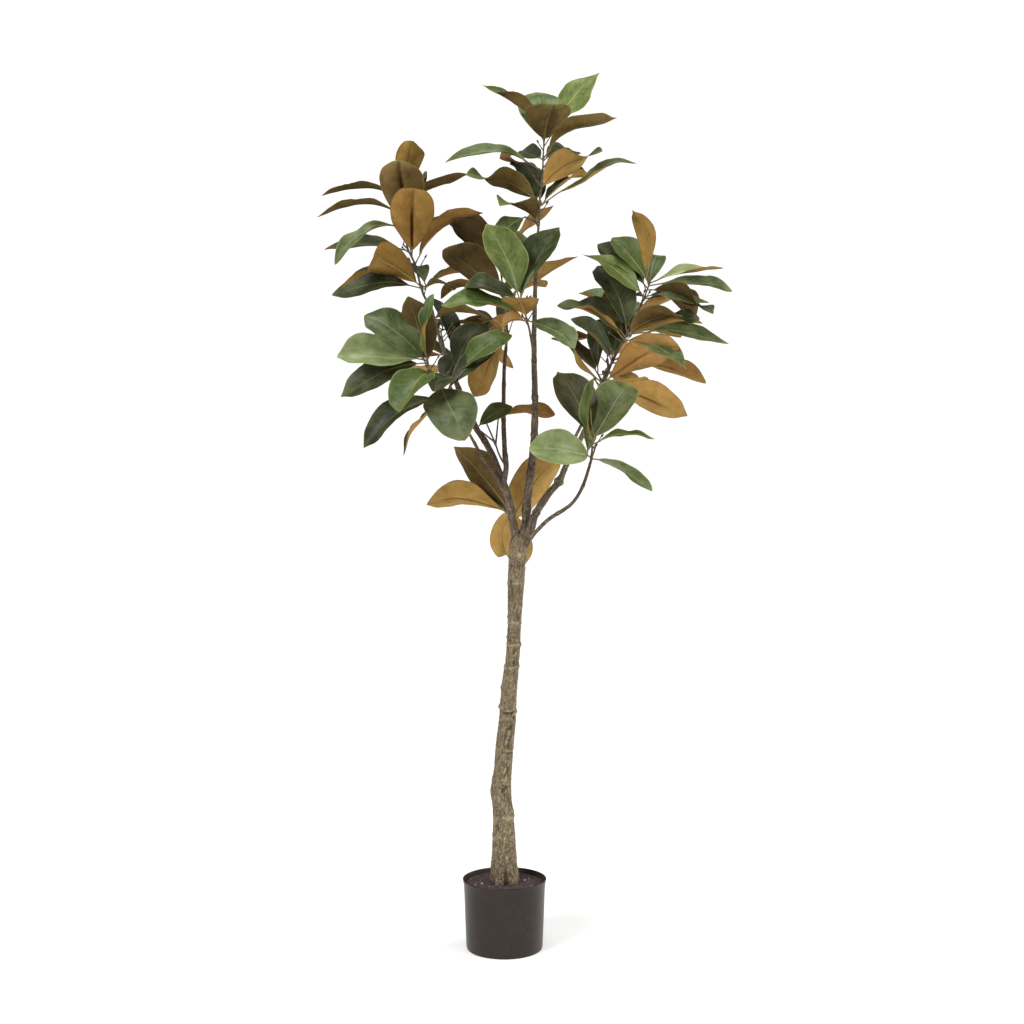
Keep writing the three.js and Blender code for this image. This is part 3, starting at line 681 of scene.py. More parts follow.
trunkForm = {
    "sides": 72, "spacing": 2.4, "sunk": 3,
    # x, y, z and radius from the cut foot to the fork
    "course": [
        (1, 0, 131.3, 29.5), (-1, 0, 168, 27.2), (-0.5, 0, 210, 23.6), (-2.5, 1, 266, 20.6),
        (-6, 2, 322, 19.8), (-2.5, 3, 375, 18.4), (0, 3, 416, 17.9), (6, 3, 468, 16.9), (10, 2, 536, 16),
        (14, 1, 573, 15.3), (18, 0, 610, 14.3), (20.5, 0, 663, 13.6), (22.5, 0, 717, 15.4), (25, 0, 765, 17),
        (29, 0, 824, 18.5), (31, 0, 850, 18.8),
    ],
    "toe": (0.13, 14),  # share that the foot draws in by, over its last millimetres
    "crown": (16, 0.05),  # height and least share of the rounding between the boughs
    "lobes": (5, 0.14, 60, 4.19),  # count, depth, height and turn of the root flare
    # noise: scale across and along the trunk, then height
    "swell": (0.035, 0.011, 1.5), "furrow": (0.18, 0.03, 1.7), "grain": (0.36, 0.24, 0.8),
    "smooth": 0.4,  # how far the bark stands out where it has no furrow
    "coarse": (180, 360),  # the grain is twice as high below the first height as above the second
    "sag": 4, "ringWave": 1.2,  # how far a ring's middle hangs below its ends, and how far it wanders
    # height, bearing, spread in degrees, width along and depth of rings and folds in the bark
    "rings": [
        (272, 330, 60, 4, 1.3), (286, 350, 50, 3, 0.9), (410, 306, 44, 1.8, 2.2), (424, 300, 40, 6, -0.6),
        (405, 308, 42, 1.7, -1.5), (492, 278, 60, 2.2, 1.5), (487, 284, 44, 2.3, -3), (486, 330, 22, 3, 2.4),
        (478, 318, 18, 2, -2), (497, 200, 40, 3, 1.2), (470, 330, 24, 2.2, 1.4), (568, 285, 70, 2.2, -0.9),
        (581, 270, 170, 3.2, 1.2), (590, 270, 120, 2, -0.8), (626, 290, 110, 3, 1.1),
        (634, 280, 90, 2, -0.8), (672, 280, 160, 3, 0.8), (705, 300, 70, 3, 0.7), (752, 250, 120, 3, 0.8),
        (789, 300, 100, 3, -0.7), (812, 240, 130, 4, 0.9), (232, 260, 80, 3, 0.7), (352, 250, 70, 3, 0.8),
    ],
    # height, bearing, radius and rise of nubs where shoots were cut
    "nubs": [
        (137, 245, 13, 3.2), (142, 303, 14, 3.6), (167, 290, 7, 1.8), (680, 196, 4.5, 2.6),
        (639, 190, 4, 2.2), (536, 186, 4.5, 2.2), (497, 192, 5, 2.8), (345, 182, 12, 1.4), (320, 184, 16, 3),
        (436, 312, 7, 1.6), (626, 352, 5, 1.8), (278, 356, 9, 1.6),
    ],
    # height, bearing, half height, half width and rise of raised scars, painted pale by the relief as a
    # painted highlight, and of knots
    "scars": [
        (442, 289, 9, 4.2, 1.6), (425, 282, 9, 3.6, 1.4), (366, 282, 8, 3.4, 1), (346, 291, 16, 2.4, 0.8),
        (601, 285, 9, 3, 1),
    ],
    "knots": [(326, 276, 6.4, 5, 2), (700, 262, 5, 4, 1.2)],
    "markLean": 0.15,  # how far scars and knots lean
    "cleft": (275, 5.5, 128, 70, 5.5),  # bearing, spread, foot, height and depth of the split in the foot
}


def angleFrom(angle, bearing):
    return (angle - bearing + 180) % 360 - 180


# how far the bark stands out there: in all, and the fine part, which the paint also follows as painted shade
# in its hollows and painted highlight on its crests
def trunkRelief(height, bearing, radius):
    form = trunkForm
    turn = math.radians(bearing)
    spot = Vector((math.cos(turn) * radius, math.sin(turn) * radius, height))
    across, along, rise = form["swell"]
    swell = barkNoise(spot, across, along) * rise
    across, along, depth = form["furrow"]
    relief = form["smooth"] - abs(barkNoise(spot, across, along, 7)) * depth
    across, along, rise = form["grain"]
    coarse, fine = form["coarse"]
    relief += barkNoise(spot, across, along, 3) * rise * (1 + smoothStep(height, fine, coarse))

    for z, at, spread, width, depth in form["rings"]:
        aside = angleFrom(bearing, at) / spread
        hang = math.sin(turn * 2 + z) * form["ringWave"] - form["sag"] * (1 - aside**2)
        gap = (height - z - hang) / width
        if abs(gap) < 3:
            ring = depth * bell(gap) * math.exp(-(aside**4))
            swell += 0.9 * ring
            relief += 0.8 * ring

    for z, at, size, rise in form["nubs"]:
        gap = math.hypot(height - z, math.radians(angleFrom(bearing, at)) * radius) / size
        if gap < 2.5:
            swell += rise * bell(gap)

    uneven = 1 + 0.6 * noise.noise(spot * 0.3) + 0.3 * noise.noise(spot * 0.8)

    # distance from the middle of a scar or knot, 1 at its uneven rim
    def gapTo(z, at, tall, wide):
        aside = math.radians(angleFrom(bearing, at)) * radius - (height - z) * form["markLean"]
        return math.hypot((height - z) / tall, aside / wide) * uneven

    for z, at, tall, wide, rise in form["scars"]:
        gap = gapTo(z, at, tall, wide)
        if gap < 2.5:
            relief += rise * (math.exp(-(gap**4)) - 1.3 * bell((gap - 1.35) / 0.28))
    # a knot's lip, fuller below, is painted pale as a painted highlight, and its groove and middle dark as
    # painted shade, besides standing out
    for z, at, tall, wide, rise in form["knots"]:
        gap = gapTo(z, at, tall, wide)
        if gap < 2.5:
            below = smoothStep(z - height, -0.4 * tall, 0.5 * tall)
            lip = (0.15 + 0.85 * below) * bell((gap - 1) / 0.25)
            groove = (0.5 - 0.3 * below) * bell((gap - 1.5) / 0.25)
            relief += rise * (lip - groove - 1.4 * bell(gap / 0.65))

    at, spread, foot, tall, depth = form["cleft"]
    low = max(0.0, 1 - (height - foot) / tall)
    relief -= depth * low**2 * bell(angleFrom(bearing, at) / (spread + 3 * low))
    return swell + relief, relief


def buildTrunk():
    form = trunkForm
    course = form["course"]
    heights, radii = [point[2] for point in course], [point[3] for point in course]
    bottom, top = heights[0], heights[-1]
    foot = (course[0][0] + 0.2, 0, bottom - form["sunk"])
    line = smoothCourse([foot] + course, form["spacing"])
    toeShare, toeHeight = form["toe"]
    crownHeight, crownTip = form["crown"]
    count, depth, tall, lobeTurn = form["lobes"]
    points, spots, reliefs = [], [], []
    for x, y, z in line:
        flare = max(0.0, min(1.0, 1 - (z - bottom) / tall)) ** 2
        crown = math.sqrt(max(crownTip, 1 - max(0, 1 - (top - z) / crownHeight) ** 2))
        toe = 1 - toeShare * max(0.0, 1 - (z - bottom) / toeHeight) ** 2
        plain = np.interp(z, heights, radii) * crown
        worn = 1 if crown > 0.9 else crown  # the bark's relief fades over the crown
        for i in range(form["sides"]):
            bearing = 360 * i / form["sides"]
            turn = math.radians(bearing)
            out, relief = trunkRelief(z, bearing, plain)
            radius = plain * (1 + depth * flare * math.cos(count * turn + lobeTurn)) * toe + out * worn
            points.append((x + radius * math.cos(turn), y + radius * math.sin(turn), z))
            spots.append((plain * math.cos(turn), plain * math.sin(turn), z))
            reliefs.append((relief, 0, 0))
    maker = PieceMaker("trunkBarkSkin")
    values = {"barkSpot": spots, "barkRelief": reliefs}
    maker.add(points, tubeFaces(len(line), form["sides"]), "trunkBark", values)
    maker.make("trunk")


buildTrunk()
print("trunk made")

# The boughs.

# each tapers from the first radius to the second along its course
boughs = {
    "bough_left": {"radii": (8.6, 3), "course": [
        (27, 1, 830), (19.5, 3, 864), (7, 8, 927), (-6, 14, 966), (-36, 22, 1035), (-64, 28, 1077),
        (-97, 38, 1155), (-131, 48, 1244), (-152, 50, 1319)]},
    "bough_tall": {"radii": (9.8, 3.2), "course": [
        (35, 2, 832), (42, 6, 857), (46.5, 6, 921), (55, 8, 983), (61, 10, 1045), (63, 12, 1128),
        (61, 15, 1231), (63, 18, 1335), (67, 20, 1439)]},
    "bough_right": {"radii": (8.8, 3.6), "knuckle": (152, 0.5, 6), "course": [
        (38, -3, 830), (54, -11, 862), (62, -10, 889), (88, -6, 930), (112, -2, 959), (127, 2, 992),
        (156, 6, 1044), (180, 8, 1106), (196, 10, 1146)]},
    "bough_right_low": {"radii": (4.3, 3.1), "course": [
        (40, -6, 826), (61, -25, 852), (90, -35, 881), (136, -52, 913), (158, -66, 949), (168, -74, 979),
        (172, -78, 994)]},
    "bough_left_low": {"radii": (4, 2.7), "course": [
        (2, 10, 936), (-16, 0, 966), (-40, -10, 999), (-68, -30, 1049), (-86, -48, 1078)]},
    "bough_centre_back": {"radii": (5.6, 3.4), "course": [
        (-3, 12, 955), (3, 15, 985), (0, 24, 1025), (-2, 36, 1077), (-2, 48, 1131), (-1, 62, 1195),
        (3, 72, 1245)]},
    "bough_front": {"radii": (3.2, 2.5), "course": [(61, 15, 1226), (57, 2, 1243), (53, -10, 1260)]},
    "bough_left_back": {"radii": (3.6, 2.6), "course": [
        (-50, 25, 1056), (-66, 52, 1092), (-88, 88, 1142), (-108, 122, 1190)]},
    "bough_right_back": {"radii": (4.2, 2.6), "course": [
        (124, 1, 984), (138, 36, 1032), (168, 80, 1092), (200, 122, 1160)]},
}

boughForm = {
    "sides": 22, "spacing": 2.6,
    "collar": (0.5, 15),  # extra share of the radius at the foot of a bough, and how far it reaches
    "joint": (78, 0.16, 6),  # distance, extra share and width of the swollen joints
    "crease": (0.7, 1.3),  # depth and width of the crease beside a joint
    # noise: scale across and along the bough, then depth of the furrows and height of the lumps
    "rough": (0.3, 0.2, 2), "lump": (0.12, 0.03, 0.14),
    "smooth": 0.45,  # how far the bark stands out where it has no furrow
    "reliefShare": 0.112,  # how far the relief stands out, as a share of the radius
}


def buildBough(name, bough):
    form = boughForm
    line = smoothCourse(bough["course"], form["spacing"])
    crossed = crossesAlong(line)
    length = lineLength(line)
    seed = sum(ord(letter) for letter in name) % 97
    collar, collarReach = form["collar"]
    spacing, extra, width = form["joint"]
    crease, creaseWidth = form["crease"]
    roughAcross, roughAlong, roughDepth = form["rough"]
    lumpAcross, lumpAlong, lumpRise = form["lump"]
    points, spots, reliefs = [], [], []
    for ring, (centre, (across, over)) in enumerate(zip(line, crossed)):
        along = length * ring / (len(line) - 1)
        radius = np.interp(along, (0, length), bough["radii"])
        swollen = 1 + collar * math.exp(-along / collarReach)
        toJoint = abs((along + seed + spacing / 2) % spacing - spacing / 2)
        if along < length - width:
            swollen += extra * bell(toJoint / width)
        if "knuckle" in bough:
            at, more, wide = bough["knuckle"]
            swollen += more * bell((along - at) / wide)
        for i in range(form["sides"]):
            turn = 2 * math.pi * i / form["sides"]
            spot = (math.cos(turn) * radius, math.sin(turn) * radius, along)
            relief = form["smooth"] - abs(barkNoise(spot, roughAcross, roughAlong, seed)) * roughDepth
            relief -= crease * bell((toJoint - width) / creaseWidth)
            lump = barkNoise(spot, lumpAcross, lumpAlong, seed * 3)
            out = radius * (swollen + relief * form["reliefShare"] + lump * lumpRise)
            points.append(centre + (across * math.cos(turn) + over * math.sin(turn)) * out)
            spots.append((spot[0], spot[1], along + seed * 40))
            # the relief that the paint darkens in hollows and creases as painted shade and lightens on crests
            # as painted highlight
            reliefs.append((relief * 0.8, 0, 0))
    maker = PieceMaker(name + "_bark")
    values = {"barkSpot": spots, "barkRelief": reliefs}
    maker.add(points, tubeFaces(len(line), form["sides"]), "boughBark", values)
    maker.make(name)


for boughName, bough in boughs.items():
    buildBough(boughName, bough)
print("boughs made")

# The rule that the leaves and twigs grow by.

# ranges that the solid leaves are drawn from too, in this order
leafVariation = {
    "bearing": (-5, 5), "lift": (-4, 4), "bend": (26, 60), "fold": (0.1, 0.34), "width": (0.94, 1.1),
}

# ranges of what each leaf has beyond the rule, drawn in this order
leafLook = {
    "widest": (0.5, 0.6), "baseFull": (0.78, 1.0), "tipFull": (0.5, 0.72), "drip": (0.1, 0.5),
    "moreFold": (0.05, 0.4), "bulge": (0.08, 0.2), "droop": (0.0, 0.12), "wave": (1.0, 4.5),
    "waves": (1.0, 2.4), "curl": (-6, 14), "sway": (-3, 4), "sweep": (-6, 6), "twist": (-30, 30),
    "tipTwist": (-30, 30),
    # lightness is partly each leaf's own tone and partly painted light and shade; sunk is how dark the
    # painted shade along the midrib is
    "lightness": (-1, 1), "sunk": (0.0, 0.5), "warmth": (-1, 0.3), "stalk": (1, 1),
}

sideTwig = {"length": (24, 46), "lift": (8, 38), "fan": 46, "reach": (138, 165), "leafLift": (-12, 48)}
rootSpacing = 3  # between neighbouring leaves of a tier

# The darker kinds, such as deep, tan, umber and dusk, are partly the leaves' own tones and partly painted
# shade for leaves that stand in shade, and the bright and pale kinds are partly painted light.
# upper side and underside of each kind of leaf
leafKinds = {
    "bright": ("springGreen", "ochreFelt"),
    "pale": ("paleGreen", "ochreFelt"),
    "fresh": ("leafGreen", "ochreFelt"),
    "sage": ("sageGreen", "ochreFelt"),
    "deep": ("deepGreen", "tanFelt"),
    "olive": ("oliveGreen", "umberFelt"),
    "ochre": ("sageGreen", "ochreFelt"),
    "tan": ("deepGreen", "tanFelt"),
    "umber": ("oliveGreen", "umberFelt"),
    "mossy": ("leafGreen", "umberFelt"),
    "dusk": ("deepGreen", "darkFelt"),
}
unaimedKinds = ("sage", "deep", "fresh", "sage", "olive", "deep")


# Bearing, lift and reach are the solid leaf's. Face and edge tilt the upper side to the front and the right.
# What is named after the kind replaces what the leaf was given or drew, or shifts its root.
def aimed(bearing, lift, face, reach, kind, /, edge=0, **own):
    return bearing, lift, face, reach, edge, kind, own


# A mass goes on from its bough's tip, or has no bough and starts beside a limb.
# A tier sits at a share of its mass's stem, or at the end of a twig (bearing, lift, length).
# A fill is a count of unaimed leaves, their middle bearing and any values of their own.
masses = [
    dict(name="foliage_top", bough="bough_tall", seed=11, stem=[
        (71, 20, 1499), (73, 20, 1545), (78, 20, 1588), (80, 20, 1632), (82, 20, 1668),
    ], tiers=[
        dict(at=1, leaves=[
            aimed(345, 50, 0.8, 175, "bright", stalk=3.2, bend=34, width=1.5, widest=0.42, drip=0.35,
                  moreFold=0, curl=4, twist=0),
            aimed(184, 44, 0, 172, "mossy", edge=-0.4, width=0.68, widest=0.42, tipFull=0.9, drip=0.8,
                  moreFold=0.6, curl=0, tipTwist=84, lightness=0.4),
            aimed(272, 11, 0, 176, "umber", lift=7, bend=24, width=1.1, widest=0.56, baseFull=0.48,
                  tipFull=0.44, drip=0, fold=0.32, moreFold=0, bulge=0.3, curl=-4, twist=0, tipTwist=0,
                  wave=2, lightness=-0.5),
            aimed(100, 62, 1.2, 158, "fresh", width=1.24, tipFull=0.4, drip=0, fold=0, moreFold=0, bulge=0.08,
                  twist=0, tipTwist=0, wave=1),
        ]),
        dict(at=0.83, leaves=[
            aimed(346, 23, -0.1, 156, "umber", lift=24, reach=172, edge=-0.3, width=0.8, drip=0.8,
                  moreFold=0.5, curl=0, sway=6, twist=8, lightness=1),
            aimed(128, 16, 1.2, 112, "deep", lift=22, width=1.25, moreFold=0, twist=0, tipTwist=0),
            aimed(58, 12, 1.2, 128, "deep", lift=22, moreFold=0, twist=0, tipTwist=0),
        ]),
        dict(at=0.6, leaves=[
            aimed(329, 18, -0.7, 146, "ochre", lift=22, reach=147, shift=(-1.2, 0, -10), stalk=0.3, bend=84,
                  widest=0.42, baseFull=1.2, moreFold=0.1, curl=-6, twist=-24, tipTwist=-66, lightness=1),
            aimed(180, 20, 1, 202, "sage", lift=6, shift=(1, 0, 28), bend=78, width=0.5, moreFold=0.3, curl=0,
                  twist=0, tipTwist=0),
        ], fill=(2, 95)),
        dict(at=0.42, leaves=[
            aimed(194, 31, -0.5, 165, "mossy", bend=72, width=0.94, drip=0.2, moreFold=0.2, curl=0,
                  tipTwist=74),
            aimed(160, 18, 0.3, 128, "deep"),
            aimed(2, 25, 0.6, 204, "sage", lift=27, reach=226, bend=26, width=0.32, moreFold=0.5, sway=-7,
                  twist=-10, lightness=0.6),
        ], fill=(2, 80)),
        dict(at=0.24, leaves=[
            aimed(241, 5, 0.1, 150, "mossy", lift=3, bend=56, moreFold=0.3, tipTwist=40),
        ], fill=(1, 135, dict(bearing=222, lift=-40, reach=104, face=1.3, kind="sage"))),
    ]),
    dict(name="foliage_upper_left", bough="bough_left", seed=23, stem=[
        (-169, 50, 1349), (-190, 50, 1420), (-204, 50, 1450), (-207, 50, 1498), (-212, 50, 1552),
    ], tiers=[
        dict(at=1, leaves=[
            aimed(290, 48, -0.5, 136, "tan", width=0.95, drip=0.35, bulge=0.22, curl=4, twist=6),
            aimed(180, 5, 0.2, 172, "olive", bend=54, width=0.6, moreFold=0.55),
            aimed(8, 25, -0.2, 152, "umber", lift=29, edge=-0.5, shift=(1.5, 0, -16), bend=40, width=0.62,
                  moreFold=0.4, twist=0, tipTwist=10),
        ], fill=(2, 85, dict(bearing=84))),
        dict(at=0.86, leaves=[
            aimed(194, -3, 0, 186, "umber", bend=50, width=0.5, moreFold=0.6),
        ], fill=(1, 130, dict(bearing=96, kind="umber", width=0.6))),
        dict(at=0.75, leaves=[
            aimed(262, 43, -0.7, 158, "umber", bearing=267, lift=47, bend=36, width=1.2, widest=0.62,
                  baseFull=0.7, tipFull=0.44, fold=0.1, moreFold=0, bulge=0.3, curl=2, twist=10,
                  lightness=1.8, sunk=0.9, warmth=0),
            aimed(205, -22, 0.6, 184, "sage", lift=-27, bend=86, width=0.46, moreFold=0.2, twist=10,
                  tipTwist=20),
        ], fill=(1, 60)),
        dict(at=0.56, leaves=[
            aimed(284, 34, -0.6, 162, "tan", bearing=276, lift=39, reach=176, shift=(7.5, 0, -16), bend=34,
                  width=1.06, widest=0.6, baseFull=0.75, tipFull=0.3, drip=0, fold=0.1, moreFold=0, bulge=0.3,
                  curl=-2, twist=6, tipTwist=0, wave=6, waves=2.2, lightness=1.4, sunk=1, warmth=-0.4),
            aimed(172, 4, 0.85, 180, "deep", lift=1, bend=40, width=0.66, moreFold=0.3),
        ], fill=(1, 110, dict(bearing=82, face=1, kind="deep", width=0.7))),
        dict(at=0.43, leaves=[
            aimed(205, -26, 0.1, 176, "deep", bend=40, width=0.4, moreFold=0.7, twist=0),
            aimed(352, 33, -0.2, 200, "tan", lift=37, reach=184, bend=66, width=0.64, moreFold=0.3,
                  tipTwist=20, lightness=1),
        ]),
        dict(at=0.22, leaves=[
            aimed(217, 26, -2, 150, "tan", bearing=228, lift=18, bend=74, width=1.12, bulge=0.25, twist=-14,
                  lightness=0.8),
            aimed(183, 0, 1.5, 190, "deep", lift=-4, bend=60, width=0.72, moreFold=0.1, tipTwist=-10),
            aimed(316, -2, -0.3, 104, "umber", width=0.75),
        ], fill=(2, 70)),
    ]),
    dict(name="foliage_left", bough="bough_left_low", seed=31, stem=[
        (-107, -80, 1108), (-125, -100, 1138), (-141, -107, 1167), (-154, -110, 1196),
    ], tiers=[
        dict(at=1, leaves=[
            aimed(193, 4, 1.4, 176, "pale", width=1.14, tipFull=0.56, curl=0, lightness=-0.6),
            aimed(172, 32, 1.1, 156, "sage", width=1.15, tipFull=0.5, wave=3),
            aimed(180, -26, 1.2, 182, "deep"),
            aimed(300, 78, 0.85, 136, "fresh", edge=-2, width=0.56, moreFold=0.2, twist=-30, tipTwist=-30),
            aimed(215, 70, -0.8, 142, "dusk", bearing=214, lift=71, bend=50, width=1.05, tipFull=0.5,
                  moreFold=0.1, twist=0),
        ]),
        dict(at=0.84, leaves=[aimed(243, -32, 0.6, 164, "fresh", width=1.14, drip=0.3, curl=6)]),
        dict(at=0.5, leaves=[
            aimed(282, -37, 1.2, 190, "sage", bearing=290, lift=-34, shift=(-7, -3, 13), stalk=0.2,
                  width=1.04, widest=0.5, tipFull=0.5, twist=8, wave=3, lightness=-1.2),
            aimed(189, -31, 1, 190, "deep", bend=66, width=0.76, moreFold=0.3),
            aimed(168, -52, 0, 146, "ochre", edge=-2.5, bend=30, width=0.75),
        ]),
        dict(at=0.45, twig=(58, 60, 58), leaves=[
            aimed(48, 54, 0.8, 145, "deep"),
            aimed(345, 30, 1.2, 146, "fresh", width=0.82, moreFold=0.25, twist=-16),
            aimed(335, 44, 1.1, 118, "deep", bearing=12, lift=43, reach=132, shift=(-9, -15, -30), width=0.8,
                  twist=-10, tipTwist=0, lightness=-1),
            aimed(236, 14, 1.3, 112, "deep", bearing=252, lift=-16, width=1.15, twist=14, tipTwist=0),
        ], fill=(1, 100, dict(bearing=58, kind="deep"))),
    ]),
    dict(name="foliage_front", bough="bough_front", seed=43, stem=[
        (44, -48, 1290), (30, -70, 1324),
    ], tiers=[
        dict(at=1, leaves=[
            aimed(182, 69, 0.8, 164, "bright", width=1.14, widest=0.52, tipFull=0.6, twist=4),
            aimed(20, 56, 0.4, 174, "deep", width=1.04, tipFull=0.74, drip=0.4),
            aimed(168, 22, 0.6, 126, "deep"),
            aimed(86, 62, 0.3, 178, "sage"),
        ]),
        dict(at=0.5, leaves=[
            aimed(266, 10, 0, 148, "tan", lift=6, bend=30, width=1.04, tipFull=0.45, drip=0, moreFold=0,
                  curl=-2),
            aimed(191, 13, 0.7, 178, "fresh", lift=11, bend=40, width=0.78, twist=12),
            aimed(304, -31, 0.7, 148, "sage", bearing=318, lift=-28, reach=142, bend=30, width=1, curl=2,
                  lightness=1),
            aimed(224, -6, -1.3, 118, "ochre", width=0.85),
        ]),
    ]),
    dict(name="foliage_centre_back", bough="bough_centre_back", seed=59, stem=[
        (5, 80, 1271), (0, 84, 1345), (-10, 82, 1413),
    ], tiers=[
        dict(at=1, leaves=[
            aimed(212, 28, -0.7, 146, "dusk", lift=40, width=1.1),
            aimed(180, 38, -0.4, 172, "umber", lift=44, drip=0.6),
            aimed(4, 48, -0.3, 182, "ochre", lift=54, edge=-0.8, bend=30, width=0.46, moreFold=0.3),
        ], fill=(2, 95)),
        dict(at=0.6, leaves=[
            aimed(213, 28, -0.8, 174, "dusk", lift=34, width=1.14, tipFull=0.5, lightness=1),
            aimed(358, 29, -0.4, 180, "ochre", bend=30, width=0.62, moreFold=0.4),
        ], fill=(2, 100)),
        dict(at=0.2, leaves=[
            aimed(248, 10, -0.4, 118, "tan"),
            aimed(222, -60, -1, 160, "ochre", bend=28, width=0.95, lightness=-0.6, warmth=-1),
        ], fill=(2, 115)),
    ]),
    dict(name="foliage_right", bough="bough_right", seed=67, stem=[
        (204, 10, 1160), (222, 10, 1206), (254, 20, 1265), (289, 25, 1339), (303, 30, 1375),
    ], tiers=[
        dict(at=1, leaves=[
            aimed(240, 60, -0.6, 158, "tan", bearing=237, lift=58, reach=159, edge=-0.7, width=0.6,
                  widest=0.5, tipFull=0.8, drip=0.7, sweep=-30, tipTwist=0, lightness=0.6, warmth=-1),
            aimed(355, 14, 0.7, 156, "pale", width=0.52, moreFold=0.4, twist=-10, tipTwist=46),
            aimed(137, 53, 1, 134, "fresh", bearing=162, lift=55, width=1.14, twist=0, lightness=0.3),
            aimed(6, -4, 0.8, 184, "sage", lift=0, bend=30, width=0.5, moreFold=0.3, twist=-16,
                  lightness=0.8),
            aimed(66, 50, 1, 122, "fresh", width=0.85, twist=0, tipTwist=0),
            aimed(150, 40, 0.9, 145, "deep"),
            aimed(330, -11, -0.7, 146, "dusk", reach=154, width=0.92, tipTwist=-60, lightness=-0.6),
        ]),
        dict(at=0.86, leaves=[
            aimed(196, 31, 1, 160, "bright", lift=35, width=0.94, tipFull=0.74, drip=0.3, lightness=0),
            aimed(344, -10, 0.6, 136, "sage", width=0.8),
        ], fill=(2, 80)),
        dict(at=0.53, leaves=[
            aimed(141, 66, 0.5, 172, "deep", width=1.05),
            aimed(350, -2, 0.8, 206, "sage", reach=212, bend=32, width=0.62, moreFold=0.3, twist=-12),
            aimed(337, 15, -0.6, 132, "umber"),
            aimed(168, 43, 0.6, 136, "deep", lift=38),
            aimed(356, 13, -0.5, 162, "tan", width=0.82, tipTwist=-80),
            aimed(187, 24, -0.1, 158, "sage", width=0.66, moreFold=0.3, tipTwist=70),
            aimed(320, -33, 1.1, 150, "sage", lift=-25, reach=162, bend=60, width=0.84, moreFold=0.2),
        ], fill=(2, 60)),
        dict(at=0.27, leaves=[
            aimed(331, 6, -0.9, 150, "ochre"),
            aimed(197, 52, 0.7, 126, "deep", lift=44, width=1.15),
            aimed(4, -12, -0.5, 198, "ochre", lift=-9, reach=212, width=0.74),
        ], fill=(1, 80)),
        dict(at=0.07, leaves=[
            aimed(343, 30, -1, 166, "ochre", sunk=0.6),
            aimed(200, 52, 0, 130, "ochre", edge=-3, bend=24, width=0.6, moreFold=0.3),
            aimed(354, -25, -1, 184, "ochre", lift=-21, bend=46, sunk=0.8),
        ], fill=(1, 110, dict(bearing=60, lift=66, kind="deep", width=0.7))),
    ]),
    dict(name="foliage_right_low", bough="bough_right_low", seed=71, stem=[
        (175, -80, 1014), (176, -80, 1040),
    ], tiers=[
        dict(at=1, leaves=[
            aimed(150, 60, 1, 170, "olive", tipFull=0.72, drip=0.6, twist=0),
            aimed(228, 72, 1.4, 126, "fresh", bearing=276, edge=-2.4, width=0.6, moreFold=0.3, twist=0),
            aimed(36, 55, 1.1, 152, "sage", width=1.22, tipFull=0.5),
            aimed(2, 8, 0.7, 130, "fresh", bend=40, width=0.42, moreFold=0.2),
        ]),
        dict(at=0.25, leaves=[
            aimed(206, 6, 3, 142, "pale", width=1.14, tipFull=0.5, warmth=-1),
            aimed(335, -30, 0.6, 140, "sage", bend=60, width=0.58, curl=-8),
        ], fill=(1, 105, dict(bearing=100, lift=72, reach=84, width=0.8))),
    ]),
    dict(name="foliage_low_back", seed=83, stem=[
        (28, 6, 828), (20, 32, 858), (16, 46, 888),
    ], tiers=[
        dict(at=1, leaves=[
            aimed(188, 12, -0.6, 182, "ochre", lift=8, bend=62, lightness=-0.3, sunk=0.7, warmth=-1),
            aimed(187, 53, -1.2, 192, "umber", lightness=1),
            aimed(4, 54, -1.2, 168, "ochre", stalk=0.3, baseFull=0.6, lightness=0, warmth=-1),
            aimed(166, 44, 0.4, 146, "sage", bearing=148, lift=31, reach=132, width=0.36),
        ], fill=(2, 90, dict(lift=34, reach=122, width=0.66))),
        dict(at=0.72, leaves=[
            aimed(120, -40, -2.5, 95, "ochre", bearing=138, lift=-66, reach=102, shift=(-2, 6, 24), stalk=0.1,
                  width=1.25, baseFull=0.5, twist=0, tipTwist=0, warmth=-1),
            aimed(66, -44, -2, 112, "ochre", bearing=30, lift=-76, reach=106, edge=-0.6,
                  shift=(-2.4, 8.8, 20), stalk=0.1, width=1.15, baseFull=0.5, twist=0, tipTwist=0, warmth=-1),
        ]),
    ]),
    dict(name="foliage_inner", seed=97, stem=[
        (2, 16, 992), (-10, 6, 1012), (-20, 6, 1040),
    ], tiers=[
        dict(at=1, twig=(182, 38, 48), leaves=[aimed(16, 40, 0.9, 88, "sage", lift=30, width=1.25)]),
        dict(at=1, twig=(180, 66, 52), leaves=[]),
        dict(at=0.9, twig=(84, 52, 76), leaves=[aimed(3, 6, -0.4, 120, "tan", width=0.8, tipTwist=30)]),
    ]),
    dict(name="foliage_left_back", bough="bough_left_back", seed=101, stem=[
        (-125, 148, 1230), (-140, 162, 1290),
    ], tiers=[
        dict(at=1, leaves=[aimed(166, 10, 0, 140, "sage")], fill=(4, 85)),
        dict(at=0.5, leaves=[aimed(150, -4, 0, 150, "deep")], fill=(3, 66)),
        dict(at=0.12, leaves=[aimed(140, -12, 0, 150, "sage")], fill=(2, 80)),
    ]),
    dict(name="foliage_right_back", bough="bough_right_back", seed=113, stem=[
        (236, 158, 1230), (262, 172, 1300),
    ], tiers=[
        dict(at=1, leaves=[aimed(350, 24, 0, 150, "sage")], fill=(4, 85)),
        dict(at=0.5, leaves=[aimed(20, 4, 0, 155, "deep")], fill=(3, 88)),
        dict(at=0.12, leaves=[aimed(40, -8, 0, 150, "fresh")], fill=(2, 95)),
    ]),
]


def stemLine(mass):
    stem = [np.array(point, float) for point in mass["stem"]]
    if "bough" not in mass:
        return stem, twigForm["hostRadius"]
    bough = boughs[mass["bough"]]
    before, tip = (np.array(point, float) for point in bough["course"][-2:])
    lead = [tip + unit(tip - before) * step for step in twigForm["lead"]]
    return lead + stem, bough["radii"][1] * twigForm["stemShare"]


